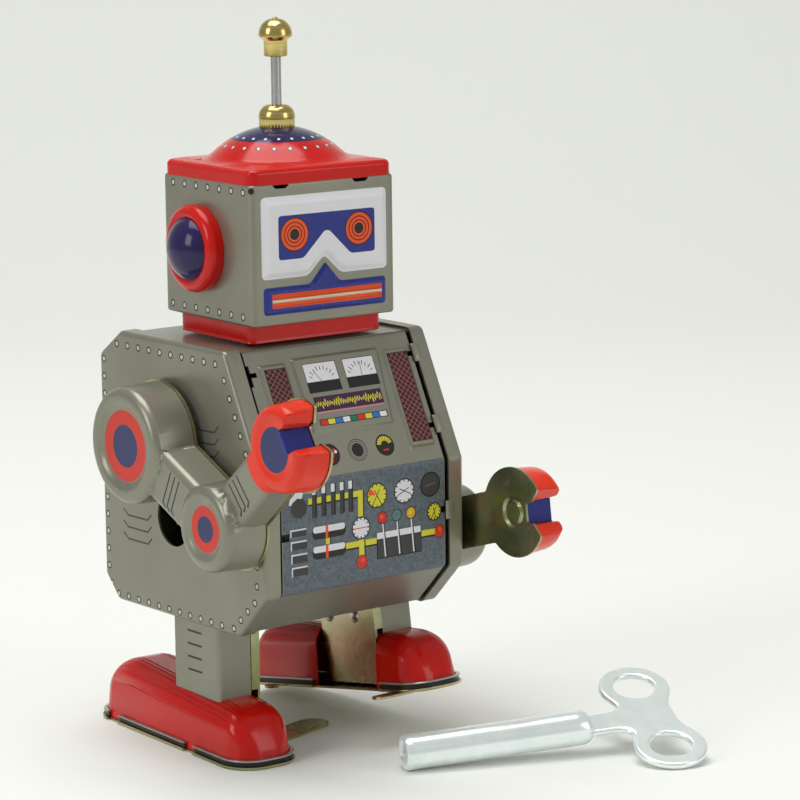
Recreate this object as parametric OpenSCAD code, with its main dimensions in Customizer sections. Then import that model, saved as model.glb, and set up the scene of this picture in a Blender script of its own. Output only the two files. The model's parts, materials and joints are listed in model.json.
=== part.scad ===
// Wind-up tin robot with a loose key.
// The robot faces -Y and stands on the plane z = 0, with its head's axis on the Z axis.
// Its right side is at -X. Millimetres throughout.

/* [Torso] */
// Width over the two side panels
torso_w = 46.4; // [45:0.2:48]
// Thickness of the pressed sheet metal
sheet = 0.5; // [0.4:0.1:0.6]
// Width of the edge that each side panel folds over the front, top and back
panel_edge = 3.5; // [2.5:0.5:4]
// Radius of the winding hole in the right side panel
winding_hole_r = 5.2; // [4.5:0.1:5.6]

/* [Head] */
// Width of the head shell
head_w = 32; // [30:0.5:34]
// Depth of the head shell
head_d = 30.2; // [28:0.2:31]
// Height of the lower edge of the head shell
head_z0 = 81.2; // [80.8:0.2:82]
// Height of the upper edge of the head shell
head_z1 = 107.2; // [106:0.2:108]
// Angle by which the head is turned to the robot's right, in degrees
head_turn = 2.5; // [0:0.5:3]

/* [Arms] */
// How far the right arm stands above the left arm, in degrees
arm_stagger = 25; // [20:1:28]
// Distance from the torso's middle to the back plate of an arm
arm_x = 24.7; // [24.4:0.1:25.5]
// Depth of an arm shell
arm_t = 7.8; // [7:0.1:8.5]

/* [Walking gear] */
// Distance from the crankshaft's axis to a crank pin
crank_throw = 3.8; // [3.4:0.1:3.8]
// Angle of the right crank pin behind bottom dead centre, in degrees
crank_rest = 14; // [0:1:20]
// Toe-up angle of the raised left leg, in degrees
leg_tilt = 8.7; // [7:0.1:9]
// Angle by which each foot turns outwards, in degrees
toe_out = 3; // [0:0.5:5]

/* [Clockwork] */
// Turns in the mainspring
spring_turns = 6; // [4:1:7]

/* [Key] */
// Angle of the key on the floor, in degrees from +X
key_yaw = -22; // [-40:1:0]
// Radius of the key's tube
key_tube_r = 3.3; // [3.2:0.1:3.4]

/* [Hidden] */
$fn = 48;

// Radial clearance of a shaft in its hole, and overshoot of a cutting shape
run = 0.05;
cut = 0.1;

// Torso outline, as [y, z], counter-clockwise from the lower front corner
outline = [
    [-17.1, 25], [22.7, 25], [27, 29.5], [27, 72.6],
    [19.9, 77.6], [-14, 77.6], [-25.7, 54], [-25.7, 33.6]
];
bottom_z = outline[0][1];
side_x = torso_w / 2;
wrap_x = side_x - sheet;

// Shaft centres, as [y, z]
arbor_c = [3.2, 43.9];
crank_c = [-4, 32.5];
shoulder_c = [4.1, 58.9];

// Gears: the first stage has module_a, the later stages module_b
module_a = 0.6;
module_b = 0.5;
great_teeth = 38;
pinion_teeth = 12;
wheel_teeth = 30;
crank_teeth = 10;
governor_teeth = 8;
stage_a = module_a * (great_teeth + pinion_teeth) / 2;
stage_b = module_b * (wheel_teeth + crank_teeth) / 2;
stage_c = module_b * (wheel_teeth + governor_teeth) / 2;

// The second arbor lies where both its meshes have their right centre distance
crank_gap = norm(arbor_c - crank_c);
crank_dir = (arbor_c - crank_c) / crank_gap;
second_along = (stage_b * stage_b + crank_gap * crank_gap - stage_a * stage_a) / (2 * crank_gap);
second_side = sqrt(stage_b * stage_b - second_along * second_along);
second_c = crank_c + second_along * crank_dir + second_side * [-crank_dir[1], crank_dir[0]];
mesh_ab = atan2(second_c[1] - arbor_c[1], second_c[0] - arbor_c[0]);
mesh_bc = atan2(crank_c[1] - second_c[1], crank_c[0] - second_c[0]);
mesh_bg = mesh_bc + 11 * 360 / wheel_teeth;
governor_c = second_c + stage_c * [cos(mesh_bg), sin(mesh_bg)];

// Places along the shafts, from the middle of the torso
plate_x = 9.7;
plate_t = 0.8;
disc_x = 10.75;
leg_x = 12;
guide_end_x = 13.6;

// Crank pins, as [y, z]
pin_step = crank_throw * [sin(crank_rest), -cos(crank_rest)];
right_pin = crank_c + pin_step;
left_pin = crank_c - pin_step;
pin_r = 1.1;
bush_r = 2;
guide_r = 2.4;

// Shaft radii, and how far the shafts reach to each side
axle_r = 1.5;
arbor_r = 2;
arbor_tail_r = 1.5;
square_w = 2.8;
second_r = 0.9;
governor_r = 0.7;
crank_r = 1.2;
shaft_end_x = 11;

// Seats of the two guide bushes in the motor plates
right_spigot_r = 2.3;
left_spigot_r = 1.9;

// Openings in the bottom for the legs: inner edge, and [front, length]
opening_x = 10.6;
opening_y = [-14, 29];

// Leg and foot, drawn for the right leg standing flat
shell_x = 21.3;
leg_front = -7.8;
leg_back = 7;
plate_back = 9.2;
foot_pivot = [-16.5, 0];
sole_x = [-24.4, -9.5];
sole_y = [-20, 33.5];

// Radii of the foot's front and back, seen from the side, and the height of their centres
fore_r = 9.2;
rear_r = 11.4;
foot_arc_z = 1.4;

// Frame pillars, as [y, z]
pillars = [[-15.5, 30], [14.5, 30], [-16, 56.5], [15.5, 56.5]];
pillar_r = 1.5;
tenon_r = 0.9;

// Arm joints relative to the shoulder, as [y, z]
elbow = [-24.9, -11.7];
claw = [-44.3, 5.4];
joint_r = [11.2, 8.3, 8.2];
bar_w = [10.8, 9.2];

// Claw mouth: its direction, its width, its flat inner end and the start of its flare from the claw's
// centre, and half its width at the tips
mouth_dir = 148;
mouth_w = 4.4;
mouth_in = 3.4;
mouth_flare = 5.2;
mouth_tip = [12, 10.4];

// Key
key_tube_len = 36;
bow_x = 48.7;
bow_gap = 20;
bow_r = 6.8;
bow_t = 1.2;
key_pitch = 3;
key_roll = 18.2;

// ---- helpers -----------------------------------------------------------------------------

// Corner of a convex outline moved inwards by d: where the two shifted sides cross
function side_dir(p, i) = (p[(i + 1) % len(p)] - p[i]) / norm(p[(i + 1) % len(p)] - p[i]);
function inset_corner(p, i, d) =
    let (u = side_dir(p, (i + len(p) - 1) % len(p)), v = side_dir(p, i))
    p[i] + d * (v - u) / (u[0] * v[1] - u[1] * v[0]);
function inset(p, d) = [for (i = [0:len(p) - 1]) inset_corner(p, i, d)];

function arc(c, r, a0, a1, n) =
    [for (i = [0:n]) c + r * [cos(a0 + (a1 - a0) * i / n), sin(a0 + (a1 - a0) * i / n)]];

// Strip of sheet that follows the outline's corners first to last, d inside it
function strip(first, last, d) = concat(
    [for (i = [first:last]) inset(outline, d)[i % len(outline)]],
    [for (i = [last:-1:first]) inset(outline, d + sheet)[i % len(outline)]]
);

// Extrude a [y, z] outline from x0 to x1
module along_x(x0, x1) {
    translate([x0, 0, 0]) rotate([90, 0, 90]) linear_extrude(x1 - x0) children();
}

// Solid of revolution about a line parallel to X through [y, z]; the profile is [r, x]
module turned_x(c) {
    translate([0, c[0], c[1]]) rotate([0, 90, 0]) rotate_extrude() children();
}

module rod_x(c, r, x0, x1) {
    translate([x0, c[0], c[1]]) rotate([0, 90, 0]) cylinder(h = x1 - x0, r = r);
}

module rounded_rect(x0, x1, y0, y1, r) {
    translate([x0 + r, y0]) square([x1 - x0 - 2 * r, y1 - y0]);
    translate([x0, y0 + r]) square([x1 - x0, y1 - y0 - 2 * r]);
    for (x = [x0 + r, x1 - r], y = [y0 + r, y1 - r]) translate([x, y]) circle(r);
}

// Bar with square ends from a to b
module bar(a, b, w) {
    d = (b - a) / norm(b - a);
    n = w / 2 * [-d[1], d[0]];
    polygon([a - n, b - n, b + n, a + n]);
}

// ---- gears -------------------------------------------------------------------------------

// Half the angle of a tooth at radius r, for an involute with 20 degrees of pressure angle
function involute(a) = tan(a) * 180 / PI - a;
function half_tooth(m, teeth, r, thin) =
    let (pitch_r = m * teeth / 2, base_r = pitch_r * cos(20))
    90 / teeth - thin / pitch_r * 90 / PI + involute(20)
        - (r > base_r ? involute(acos(base_r / r)) : 0);
function tooth_side(m, teeth, thin) =
    let (p = m * teeth / 2, base = p * cos(20), root = p - 1.2 * m, tip = p + 0.85 * m)
    [for (r = [root, max(base, root + 0.1), p, tip]) [r, half_tooth(m, teeth, r, thin)]];
function gear_points(m, teeth, thin) =
    let (side = tooth_side(m, teeth, thin))
    [for (i = [0:teeth - 1], s = [-1, 1], k = [0:3])
        let (q = side[s < 0 ? k : 3 - k], a = 360 * i / teeth + s * q[1])
        q[0] * [cos(a), sin(a)]];

module gear(c, m, teeth, turn, bore_r, x0, x1) {
    difference() {
        translate([0, c[0], c[1]]) rotate([turn, 0, 0])
            along_x(x0, x1) polygon(gear_points(m, teeth, 0.14));
        rod_x(c, bore_r, x0 - cut, x1 + cut);
    }
}

// ---- torso -------------------------------------------------------------------------------

module side_panel(hole_r) {
    difference() {
        along_x(side_x - panel_edge, side_x) polygon(outline);
        along_x(side_x - panel_edge - cut, side_x - sheet) polygon(inset(outline, sheet));
        rod_x(shoulder_c, axle_r + run, side_x - 2, side_x + cut);
        if (hole_r > 0) rod_x(arbor_c, hole_r, side_x - 2, side_x + cut);
        translate([0, opening_y[0], bottom_z - 1]) cube([side_x - 0.9, opening_y[1], 3]);
    }
}

module right_side_panel() {
    color("darkgray") mirror([1, 0, 0]) side_panel(winding_hole_r);
}

module left_side_panel() {
    color("darkgray") side_panel(0);
}

module front_panel() {
    color("slategray") along_x(-wrap_x, wrap_x) polygon(strip(5, 8, sheet));
}

module top_panel() {
    color("darkgray") along_x(-wrap_x, wrap_x) polygon(strip(4, 5, sheet));
}

module back_panel() {
    color("darkgray") along_x(-wrap_x, wrap_x) polygon(strip(1, 4, sheet));
}

module bottom_plate() {
    color("darkgray") difference() {
        along_x(-wrap_x, wrap_x) polygon(strip(0, 1, sheet));
        for (s = [0, 1]) mirror([s, 0, 0]) translate([opening_x, opening_y[0], bottom_z - 1])
            cube([side_x - opening_x, opening_y[1], 3]);
    }
}

// ---- head --------------------------------------------------------------------------------

// Heights of the cap's edge and of its dome, and the dome's radius
cap_z = 109.8;
dome_r = 17.4;
dome_top = 116.2;
collar_z = 77.1;
rod_r = 0.95;
ear_c = [2.2, 94.3];

module turned_head() {
    rotate([0, 0, -head_turn]) children();
}

module head_block(grow, z0, z1) {
    translate([0, 0, z0]) linear_extrude(z1 - z0)
        rounded_rect(-head_w / 2 - grow, head_w / 2 + grow, -head_d / 2 - grow, head_d / 2 + grow, 1.2);
}

module head_shell() {
    color("darkgray") turned_head() difference() {
        head_block(0, head_z0, head_z1);
        head_block(-sheet, head_z0 - cut, head_z1 + cut);
        rod_x(ear_c, 4, -head_w, head_w);
    }
}

module collar_block(d, z0, z1) {
    translate([d - 14.8, d - 12.2, z0]) cube([29.6 - 2 * d, 24.4 - 2 * d, z1 - z0]);
}

module neck_collar() {
    color("orangered") turned_head() {
        difference() {
            collar_block(0, collar_z, head_z0);
            collar_block(sheet, collar_z - cut, head_z0 + cut);
        }
        head_block(-sheet, head_z0, head_z0 + sheet);
    }
}

module dome(r, z0) {
    intersection() {
        translate([0, 0, dome_top - dome_r]) sphere(r);
        translate([-20, -20, z0]) cube([40, 40, 10]);
    }
}

module head_cap() {
    color("orangered") turned_head() difference() {
        union() {
            head_block(-0.2, head_z1, cap_z);
            dome(dome_r, cap_z);
        }
        head_block(-0.7, head_z1 - cut, cap_z - sheet);
        dome(dome_r - sheet, cap_z - 1);
        translate([-5, -5, dome_top - 0.2]) cube(10);
        translate([0, 0, 100]) cylinder(h = 20, r = rod_r);
    }
}

module ear_ring(side) {
    turned_x(ear_c) translate([0, side * head_w / 2]) scale([1, side]) {
        difference() {
            translate([6.2, 1.4]) circle(1.8);
            translate([0, -2]) square([9, 2]);
        }
        translate([4.2, 0]) square([2.4, 0.6]);
        translate([6.2, 0]) square([1.8, 1.4]);
    }
}

module right_ear_ring() {
    color("orangered") turned_head() ear_ring(-1);
}

module left_ear_ring() {
    color("orangered") turned_head() ear_ring(1);
}

// Ball segment that stands on the ear's base
module ear_dome(side) {
    turned_x(ear_c) translate([0, side * head_w / 2]) scale([1, side]) {
        intersection() {
            translate([0, -1.1]) circle(5.6);
            translate([0, 0.7]) square([4.3, 5]);
        }
        square([4.15, 0.7]);
    }
}

module right_ear_dome() {
    color("midnightblue") turned_head() ear_dome(-1);
}

module left_ear_dome() {
    color("midnightblue") turned_head() ear_dome(1);
}

module antenna_base() {
    color("goldenrod") difference() {
        union() {
            translate([0, 0, 116]) cylinder(h = 1.8, r = 3.4);
            intersection() {
                translate([0, 0, 117.1]) sphere(3.1);
                translate([-4, -4, 117.7]) cube([8, 8, 2.5]);
            }
        }
        translate([0, 0, 115]) cylinder(h = 6, r = rod_r);
    }
}

module antenna_rod() {
    color("silver") translate([0, 0, 115.2]) cylinder(h = 15.8, r = rod_r);
}

module antenna_finial() {
    color("goldenrod") difference() {
        union() {
            translate([0, 0, 129]) cylinder(h = 2.9, r = 2.2);
            intersection() {
                translate([0, 0, 132.9]) sphere(3.1);
                translate([-4, -4, 131.8]) cube([8, 8, 5]);
            }
            translate([0, 0, 135.5]) cylinder(h = 0.8, r = 0.8);
        }
        translate([0, 0, 128]) cylinder(h = 3, r = rod_r);
    }
}

// ---- motor frame -------------------------------------------------------------------------

module motor_plate(side, arbor_hole) {
    x0 = side > 0 ? plate_x : -plate_x - plate_t;
    difference() {
        along_x(x0, x0 + plate_t) {
            rounded_rect(-18.5, 18, 27, 59.5, 3);
            for (y = [-15.5, 12]) translate([y, bottom_z + 2 * sheet]) square([3, 3]);
        }
        rod_x(arbor_c, arbor_hole, x0 - cut, x0 + 1);
        rod_x(second_c, second_r + run, x0 - cut, x0 + 1);
        rod_x(governor_c, governor_r + run, x0 - cut, x0 + 1);
        rod_x(crank_c, crank_r + run, x0 - cut, x0 + 1);
        for (p = pillars) rod_x(p, tenon_r, x0 - cut, x0 + 1);
    }
}

module right_motor_plate() {
    color("khaki") motor_plate(-1, right_spigot_r);
}

module left_motor_plate() {
    color("khaki") motor_plate(1, left_spigot_r);
}

module frame_pillars() {
    color("silver") for (p = pillars) {
        rod_x(p, pillar_r, -plate_x, plate_x);
        rod_x(p, tenon_r, -shaft_end_x, shaft_end_x);
    }
}

// Bush in a motor plate: the winding arbor turns in it, and the leg's window runs round it
module guide_bush(side, bore_r, spigot_r) {
    scale([side, 1, 1]) difference() {
        union() {
            rod_x(arbor_c, guide_r, plate_x + plate_t, guide_end_x);
            rod_x(arbor_c, spigot_r, plate_x, plate_x + plate_t);
        }
        rod_x(arbor_c, bore_r, plate_x - cut, guide_end_x + cut);
    }
}

module right_guide_bush() {
    color("gold") guide_bush(-1, arbor_r + run, right_spigot_r);
}

module left_guide_bush() {
    color("gold") guide_bush(1, arbor_tail_r + run, left_spigot_r);
}

spring_in = 2.5;
spring_out = 10.6;
spring_t = 0.35;
spring_end = atan2(pillars[3][1] - arbor_c[1], pillars[3][0] - arbor_c[0]);
spring_tail = norm(pillars[3] - arbor_c) - pillar_r;
spring_steps = 18 * spring_turns;

function spring_point(i, off) =
    let (a = spring_end - 360 * spring_turns * (1 - i / spring_steps))
    (spring_in + (spring_out - spring_in) * i / spring_steps + off) * [cos(a), sin(a)];

module mainspring() {
    color("steelblue") translate([0, arbor_c[0], arbor_c[1]]) along_x(-8.5, -1) {
        polygon(concat(
            [for (i = [0:spring_steps]) spring_point(i, spring_t)],
            [for (i = [spring_steps:-1:0]) spring_point(i, 0)]
        ));
        rotate(spring_end) translate([spring_out, -spring_t / 2])
            square([spring_tail - spring_out, spring_t]);
    }
}

module winding_arbor() {
    color("silver") {
        rod_x(arbor_c, arbor_r, -14.2, 8);
        rod_x(arbor_c, arbor_tail_r, 8, 13.3);
        translate([-21.5, arbor_c[0] - square_w / 2, arbor_c[1] - square_w / 2])
            cube([7.3, square_w, square_w]);
    }
}

ratchet_teeth = 12;

module ratchet_wheel() {
    color("silver") difference() {
        translate([0, arbor_c[0], arbor_c[1]]) along_x(1.6, 2.6)
            polygon([for (i = [0:ratchet_teeth - 1], k = [0, 1])
                (k == 0 ? 5 : 3.9) * [cos(360 * i / ratchet_teeth), sin(360 * i / ratchet_teeth)]]);
        rod_x(arbor_c, arbor_r, 1, 3);
    }
}

module great_wheel() {
    color("gold") gear(arbor_c, module_a, great_teeth, mesh_ab, arbor_r + run, 0, 1.2);
}

// Leaf spring riveted to the great wheel, with its nose beside a ratchet tooth
module click_spring() {
    color("silver") translate([0, arbor_c[0], arbor_c[1]]) {
        along_x(1.6, 2.4) {
            translate([-6, 6.6]) square([9, 0.5]);
            polygon([[2.5, 6.6], [3, 6.6], [2.9, 4.4], [2.4, 5.2]]);
        }
        rod_x([-5.4, 6.85], 0.8, 1.2, 2.8);
    }
}

module second_arbor() {
    color("silver") rod_x(second_c, second_r, -shaft_end_x, shaft_end_x);
}

module second_pinion() {
    turn = mesh_ab + 180 + 180 / pinion_teeth;
    color("gold") gear(second_c, module_a, pinion_teeth, turn, second_r, -0.4, 1.6);
}

module second_wheel() {
    color("gold") gear(second_c, module_b, wheel_teeth, mesh_bc, second_r, 4, 4.9);
}

module governor_shaft() {
    color("silver") rod_x(governor_c, governor_r, -shaft_end_x, shaft_end_x);
}

module governor_pinion() {
    color("gold")
        gear(
            governor_c, module_b, governor_teeth,
            mesh_bg + 180 + 180 / governor_teeth, governor_r, 3.6, 5.3
        );
}

module governor_fly() {
    color("silver") difference() {
        union() {
            rod_x(governor_c, 1.5, 6.4, 9.2);
            translate([6.4, governor_c[0] - 5.4, governor_c[1] - 0.3]) cube([2.8, 10.8, 0.6]);
        }
        rod_x(governor_c, governor_r, 6, 10);
    }
}

module crankshaft() {
    color("silver") rod_x(crank_c, crank_r, -disc_x - 0.55, disc_x + 0.55);
}

module crank_pinion() {
    color("gold") gear(crank_c, module_b, crank_teeth, mesh_bc + 180 + 180 / crank_teeth, crank_r, 3.6, 5.3);
}

module crank_disc(side, pin) {
    scale([side, 1, 1]) {
        difference() {
            rod_x(crank_c, 5.6, disc_x, disc_x + 0.55);
            rod_x(crank_c, crank_r, disc_x - cut, disc_x + 1);
        }
        rod_x(pin, pin_r, disc_x + 0.5, 13.9);
    }
}

module right_crank_disc() {
    color("silver") crank_disc(-1, right_pin);
}

module left_crank_disc() {
    color("silver") crank_disc(1, left_pin);
}

module crank_bush(side, pin) {
    scale([side, 1, 1]) difference() {
        union() {
            rod_x(pin, bush_r, 11.5, 13.5);
            rod_x(pin, 2.9, 12.8, 13.5);
        }
        rod_x(pin, pin_r + run, 11, 14);
    }
}

module right_crank_bush() {
    color("gold") crank_bush(-1, right_pin);
}

module left_crank_bush() {
    color("gold") crank_bush(1, left_pin);
}

// ---- legs --------------------------------------------------------------------------------

// Places a leg that was drawn standing at the right side
module on_left_leg() {
    translate([0, left_pin[0], left_pin[1]]) rotate([-leg_tilt, 0, 0])
        translate([0, -right_pin[0], -right_pin[1]]) mirror([1, 0, 0]) children();
}

// The window in the leg plate clears the guide bush all round the crank's circle,
// both with the leg upright and with the leg tilted
window_up = right_pin + (arbor_c - crank_c);
window_tilt = right_pin + [
    cos(leg_tilt) * (arbor_c[0] - crank_c[0]) - sin(leg_tilt) * (arbor_c[1] - crank_c[1]),
    sin(leg_tilt) * (arbor_c[0] - crank_c[0]) + cos(leg_tilt) * (arbor_c[1] - crank_c[1])
];
window_r = crank_throw + guide_r + 0.2;
rivet_c = [[-1.6, 14.1], [6.4, 14.1]];
rivet_r = 0.8;

module leg_plate() {
    difference() {
        union() {
            along_x(-leg_x - 0.5, -leg_x) {
                translate([leg_front, 1]) square([plate_back - leg_front, 35]);
                rounded_rect(leg_front, 14.2, 30, 50.4, 3);
            }
            translate([-leg_x - 1.9, leg_front, 11.6]) cube([1.9, 0.5, 18]);
        }
        rod_x(right_pin, bush_r + run, -leg_x - 1, -leg_x + cut);
        along_x(-leg_x - 1, -leg_x + cut) {
            translate(window_up) circle(window_r);
            translate(window_tilt) circle(window_r);
            bar(window_up, window_tilt, 2 * window_r);
        }
        for (c = rivet_c) rod_x(c, rivet_r, -leg_x - 1, -leg_x + cut);
    }
}

// Channel that is open towards the leg plate, with two ears for the rivets
module leg_shell() {
    difference() {
        translate([-shell_x, leg_front + 0.1, 11.2])
            cube([shell_x - leg_x - 0.5, leg_back - leg_front, 19.6]);
        translate([-shell_x + sheet, leg_front + 0.1 + sheet, 11])
            cube([shell_x - leg_x, leg_back - leg_front - 2 * sheet, 20]);
        translate([-leg_x - 2, leg_front - cut, 11]) cube([2, 1, 20]);
    }
    difference() {
        translate([-leg_x - 1, leg_front + 0.7, 12.4]) cube([0.5, leg_back - leg_front - 0.8, 3.6]);
        for (c = rivet_c) rod_x(c, rivet_r, -leg_x - 2, -leg_x);
    }
}

module leg_rivets() {
    for (c = rivet_c) {
        rod_x(c, rivet_r, -leg_x - 1, -leg_x);
        turned_x(c) translate([0, -leg_x]) intersection() {
            translate([0, -1.85]) circle(2.35);
            square([1.5, 0.5]);
        }
    }
}

module turned_foot() {
    translate([foot_pivot[0], foot_pivot[1], 0]) rotate([0, 0, -toe_out])
        translate([-foot_pivot[0], -foot_pivot[1], 0]) children();
}

// Foot pressing, d inside its outer surface
function foot_profile(d) =
    let (front = sole_y[0] + 0.7, back = sole_y[1] - 0.7)
    concat(
        arc([back - rear_r, foot_arc_z], rear_r - d, 0, 86, 10),
        arc([front + fore_r, foot_arc_z], fore_r - d, 94, 180, 8),
        [[front + d, 0.6], [back - d, 0.6]]
    );

module foot_solid(d) {
    intersection() {
        along_x(sole_x[0], sole_x[1]) polygon(foot_profile(d + 0.2));
        translate([0, 0, 0.4 + (d > 0 ? -1 : 0)]) linear_extrude(20)
            rounded_rect(
                sole_x[0] + 0.8 + d, sole_x[1] - 0.8 - d,
                sole_y[0] + 0.8 + d, sole_y[1] - 0.6 - d, 5
            );
    }
}

module foot_shell() {
    difference() {
        turned_foot() difference() {
            foot_solid(0);
            foot_solid(sheet);
        }
        translate([-leg_x - 0.6, leg_front - 0.4, 0]) cube([4, plate_back - leg_front + 0.8, 20]);
        translate([-shell_x - 0.1, leg_front, 6]) cube([shell_x - leg_x, leg_back - leg_front + 0.2, 12]);
    }
}

// Rounded tongue from the sole's inner edge to x, centred on y
module tongue(y, x, w) {
    translate([sole_x[1] - 1, y - w / 2]) square([x - w / 2 - sole_x[1] + 1, w]);
    translate([x - w / 2, y]) circle(w / 2);
}

// Flat sole with a raised rim; the tongues keep the robot from falling sideways
module sole_plate() {
    turned_foot() {
        linear_extrude(0.45) rounded_rect(sole_x[0], sole_x[1], sole_y[0], sole_y[1], 6);
        difference() {
            linear_extrude(1.5) rounded_rect(sole_x[0], sole_x[1], sole_y[0], sole_y[1], 6);
            translate([0, 0, 0.2]) linear_extrude(2)
                rounded_rect(sole_x[0] + 0.4, sole_x[1] - 0.4, sole_y[0] + 0.4, sole_y[1] - 0.4, 5.6);
            translate([sole_x[1] - 2, leg_front - 1, 0.45]) cube([4, plate_back - leg_front + 2, 3]);
        }
    }
}

module right_leg_plate() {
    color("darkkhaki") leg_plate();
}

module right_leg_shell() {
    color("gray") leg_shell();
}

module right_leg_rivets() {
    color("silver") leg_rivets();
}

module right_foot_shell() {
    color("red") foot_shell();
}

// The tongue leans back a little, and its lower face passes under the robot's axis
module right_sole_plate() {
    color("darkkhaki") {
        sole_plate();
        linear_extrude(0.45) translate([sole_x[1] + 0.5, -5]) rotate(16)
            translate([-sole_x[1], 0]) tongue(0, 8.4, 6.2);
    }
}

module left_leg_plate() {
    color("darkkhaki") on_left_leg() leg_plate();
}

module left_leg_shell() {
    color("gray") on_left_leg() leg_shell();
}

module left_leg_rivets() {
    color("silver") on_left_leg() leg_rivets();
}

module left_foot_shell() {
    color("red") on_left_leg() foot_shell();
}

module left_sole_plate() {
    color("darkkhaki") on_left_leg() {
        sole_plate();
        turned_foot() linear_extrude(0.45) {
            tongue(-16.4, -2.4, 3.8);
            tongue(21.2, -6.6, 5);
        }
    }
}

// ---- arms --------------------------------------------------------------------------------

// Arm outline with the shoulder at the origin, d inside its edge
module arm_outline(d) {
    difference() {
        union() {
            circle(joint_r[0] - d);
            translate(elbow) circle(joint_r[1] - d);
            translate(claw) circle(joint_r[2] - d);
            bar([0, 0], elbow, bar_w[0] - 2 * d);
            bar(elbow, claw, bar_w[1] - 2 * d);
        }
        translate(claw) rotate(mouth_dir) {
            translate([mouth_in - d, -mouth_w / 2 - d]) square([mouth_tip[0], mouth_w + 2 * d]);
            polygon([
                [mouth_flare - d, -mouth_w / 2 - d], [mouth_tip[0], -mouth_tip[1] - d],
                [mouth_tip[0], mouth_tip[1] + d], [mouth_flare - d, mouth_w / 2 + d]
            ]);
        }
    }
}

module arm_shell() {
    difference() {
        along_x(-arm_x - 0.5 - arm_t, -arm_x - 0.5) arm_outline(0);
        along_x(-arm_x - 0.5 - arm_t + sheet, -arm_x - 0.4) arm_outline(sheet);
    }
}

module arm_plate() {
    difference() {
        along_x(-arm_x - 0.5, -arm_x) arm_outline(-0.3);
        rod_x([0, 0], axle_r, -arm_x - 1, -arm_x + cut);
    }
}

module shoulder_axle() {
    rod_x([0, 0], axle_r, -arm_x - 0.5, -19.4);
    rod_x([0, 0], 2.4, -arm_x - 1.2, -arm_x - 0.5);
}

lever_end = [1.5, -8.5];

module arm_lever() {
    difference() {
        along_x(-20.6, -19.8) {
            circle(2.8);
            bar([0, 0], lever_end, 3);
            translate(lever_end) circle(1.5);
        }
        rod_x([0, 0], axle_r, -21, -19);
        rod_x(lever_end, 0.6, -21, -19);
    }
}

module on_right_shoulder() {
    translate([0, shoulder_c[0], shoulder_c[1]]) children();
}

module on_left_shoulder() {
    translate([0, shoulder_c[0], shoulder_c[1]]) rotate([arm_stagger, 0, 0]) mirror([1, 0, 0]) children();
}

module right_arm_shell() {
    color("darkgray") on_right_shoulder() arm_shell();
}

module right_arm_plate() {
    color("darkkhaki") on_right_shoulder() arm_plate();
}

module right_shoulder_axle() {
    color("silver") on_right_shoulder() shoulder_axle();
}

module right_arm_lever() {
    color("silver") on_right_shoulder() arm_lever();
}

module left_arm_shell() {
    color("darkgray") on_left_shoulder() arm_shell();
}

module left_arm_plate() {
    color("darkkhaki") on_left_shoulder() arm_plate();
}

module left_shoulder_axle() {
    color("silver") on_left_shoulder() shoulder_axle();
}

module left_arm_lever() {
    color("silver") on_left_shoulder() arm_lever();
}

// ---- key ---------------------------------------------------------------------------------

// The key lies on its tube's mouth and on the edge of its lower lobe
module on_floor() {
    translate([-1, -37, key_tube_r * cos(key_pitch)]) rotate([key_roll, -key_pitch, key_yaw]) children();
}

module key_shank() {
    color("lightsteelblue") on_floor() difference() {
        rotate([0, 90, 0]) cylinder(h = key_tube_len, r = key_tube_r);
        translate([-1, -1.5, -1.5]) cube([15, 3, 3]);
        translate([key_tube_len - 5, -4, -bow_t / 2]) cube([8, 8, bow_t]);
    }
}

// Flat bow with two finger holes; its stem sits in the slot of the tube
module key_bow() {
    color("lightsteelblue") on_floor() translate([0, 0, -bow_t / 2]) linear_extrude(bow_t) difference() {
        union() {
            for (s = [-1, 1]) translate([bow_x, s * bow_gap / 2]) circle(bow_r);
            translate([bow_x - 4.4, -bow_gap / 2]) square([8.8, bow_gap]);
            translate([key_tube_len - 5, -3]) square([bow_x - key_tube_len + 4, 6]);
        }
        for (s = [-1, 1]) translate([bow_x, s * bow_gap / 2]) circle(3.9);
    }
}

right_side_panel();
left_side_panel();
front_panel();
top_panel();
back_panel();
bottom_plate();
head_shell();
neck_collar();
head_cap();
right_ear_ring();
left_ear_ring();
right_ear_dome();
left_ear_dome();
antenna_base();
antenna_rod();
antenna_finial();
right_motor_plate();
left_motor_plate();
frame_pillars();
right_guide_bush();
left_guide_bush();
mainspring();
winding_arbor();
ratchet_wheel();
great_wheel();
click_spring();
second_arbor();
second_pinion();
second_wheel();
governor_shaft();
governor_pinion();
governor_fly();
crankshaft();
crank_pinion();
right_crank_disc();
left_crank_disc();
right_crank_bush();
left_crank_bush();
right_leg_plate();
right_leg_shell();
right_leg_rivets();
right_foot_shell();
right_sole_plate();
left_leg_plate();
left_leg_shell();
left_leg_rivets();
left_foot_shell();
left_sole_plate();
right_arm_shell();
right_arm_plate();
right_shoulder_axle();
right_arm_lever();
left_arm_shell();
left_arm_plate();
left_shoulder_axle();
left_arm_lever();
key_shank();
key_bow();
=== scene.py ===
"""Looks of the wind-up tin robot and its key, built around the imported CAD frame.

Lengths below are in millimetres, in the shared frame: the robot faces -Y, its right side is at -X, +Z is up.
"""

import json
import math

import bpy
import numpy as np
from mathutils import Matrix, Vector
from mathutils.geometry import delaunay_2d_cdt


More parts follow.
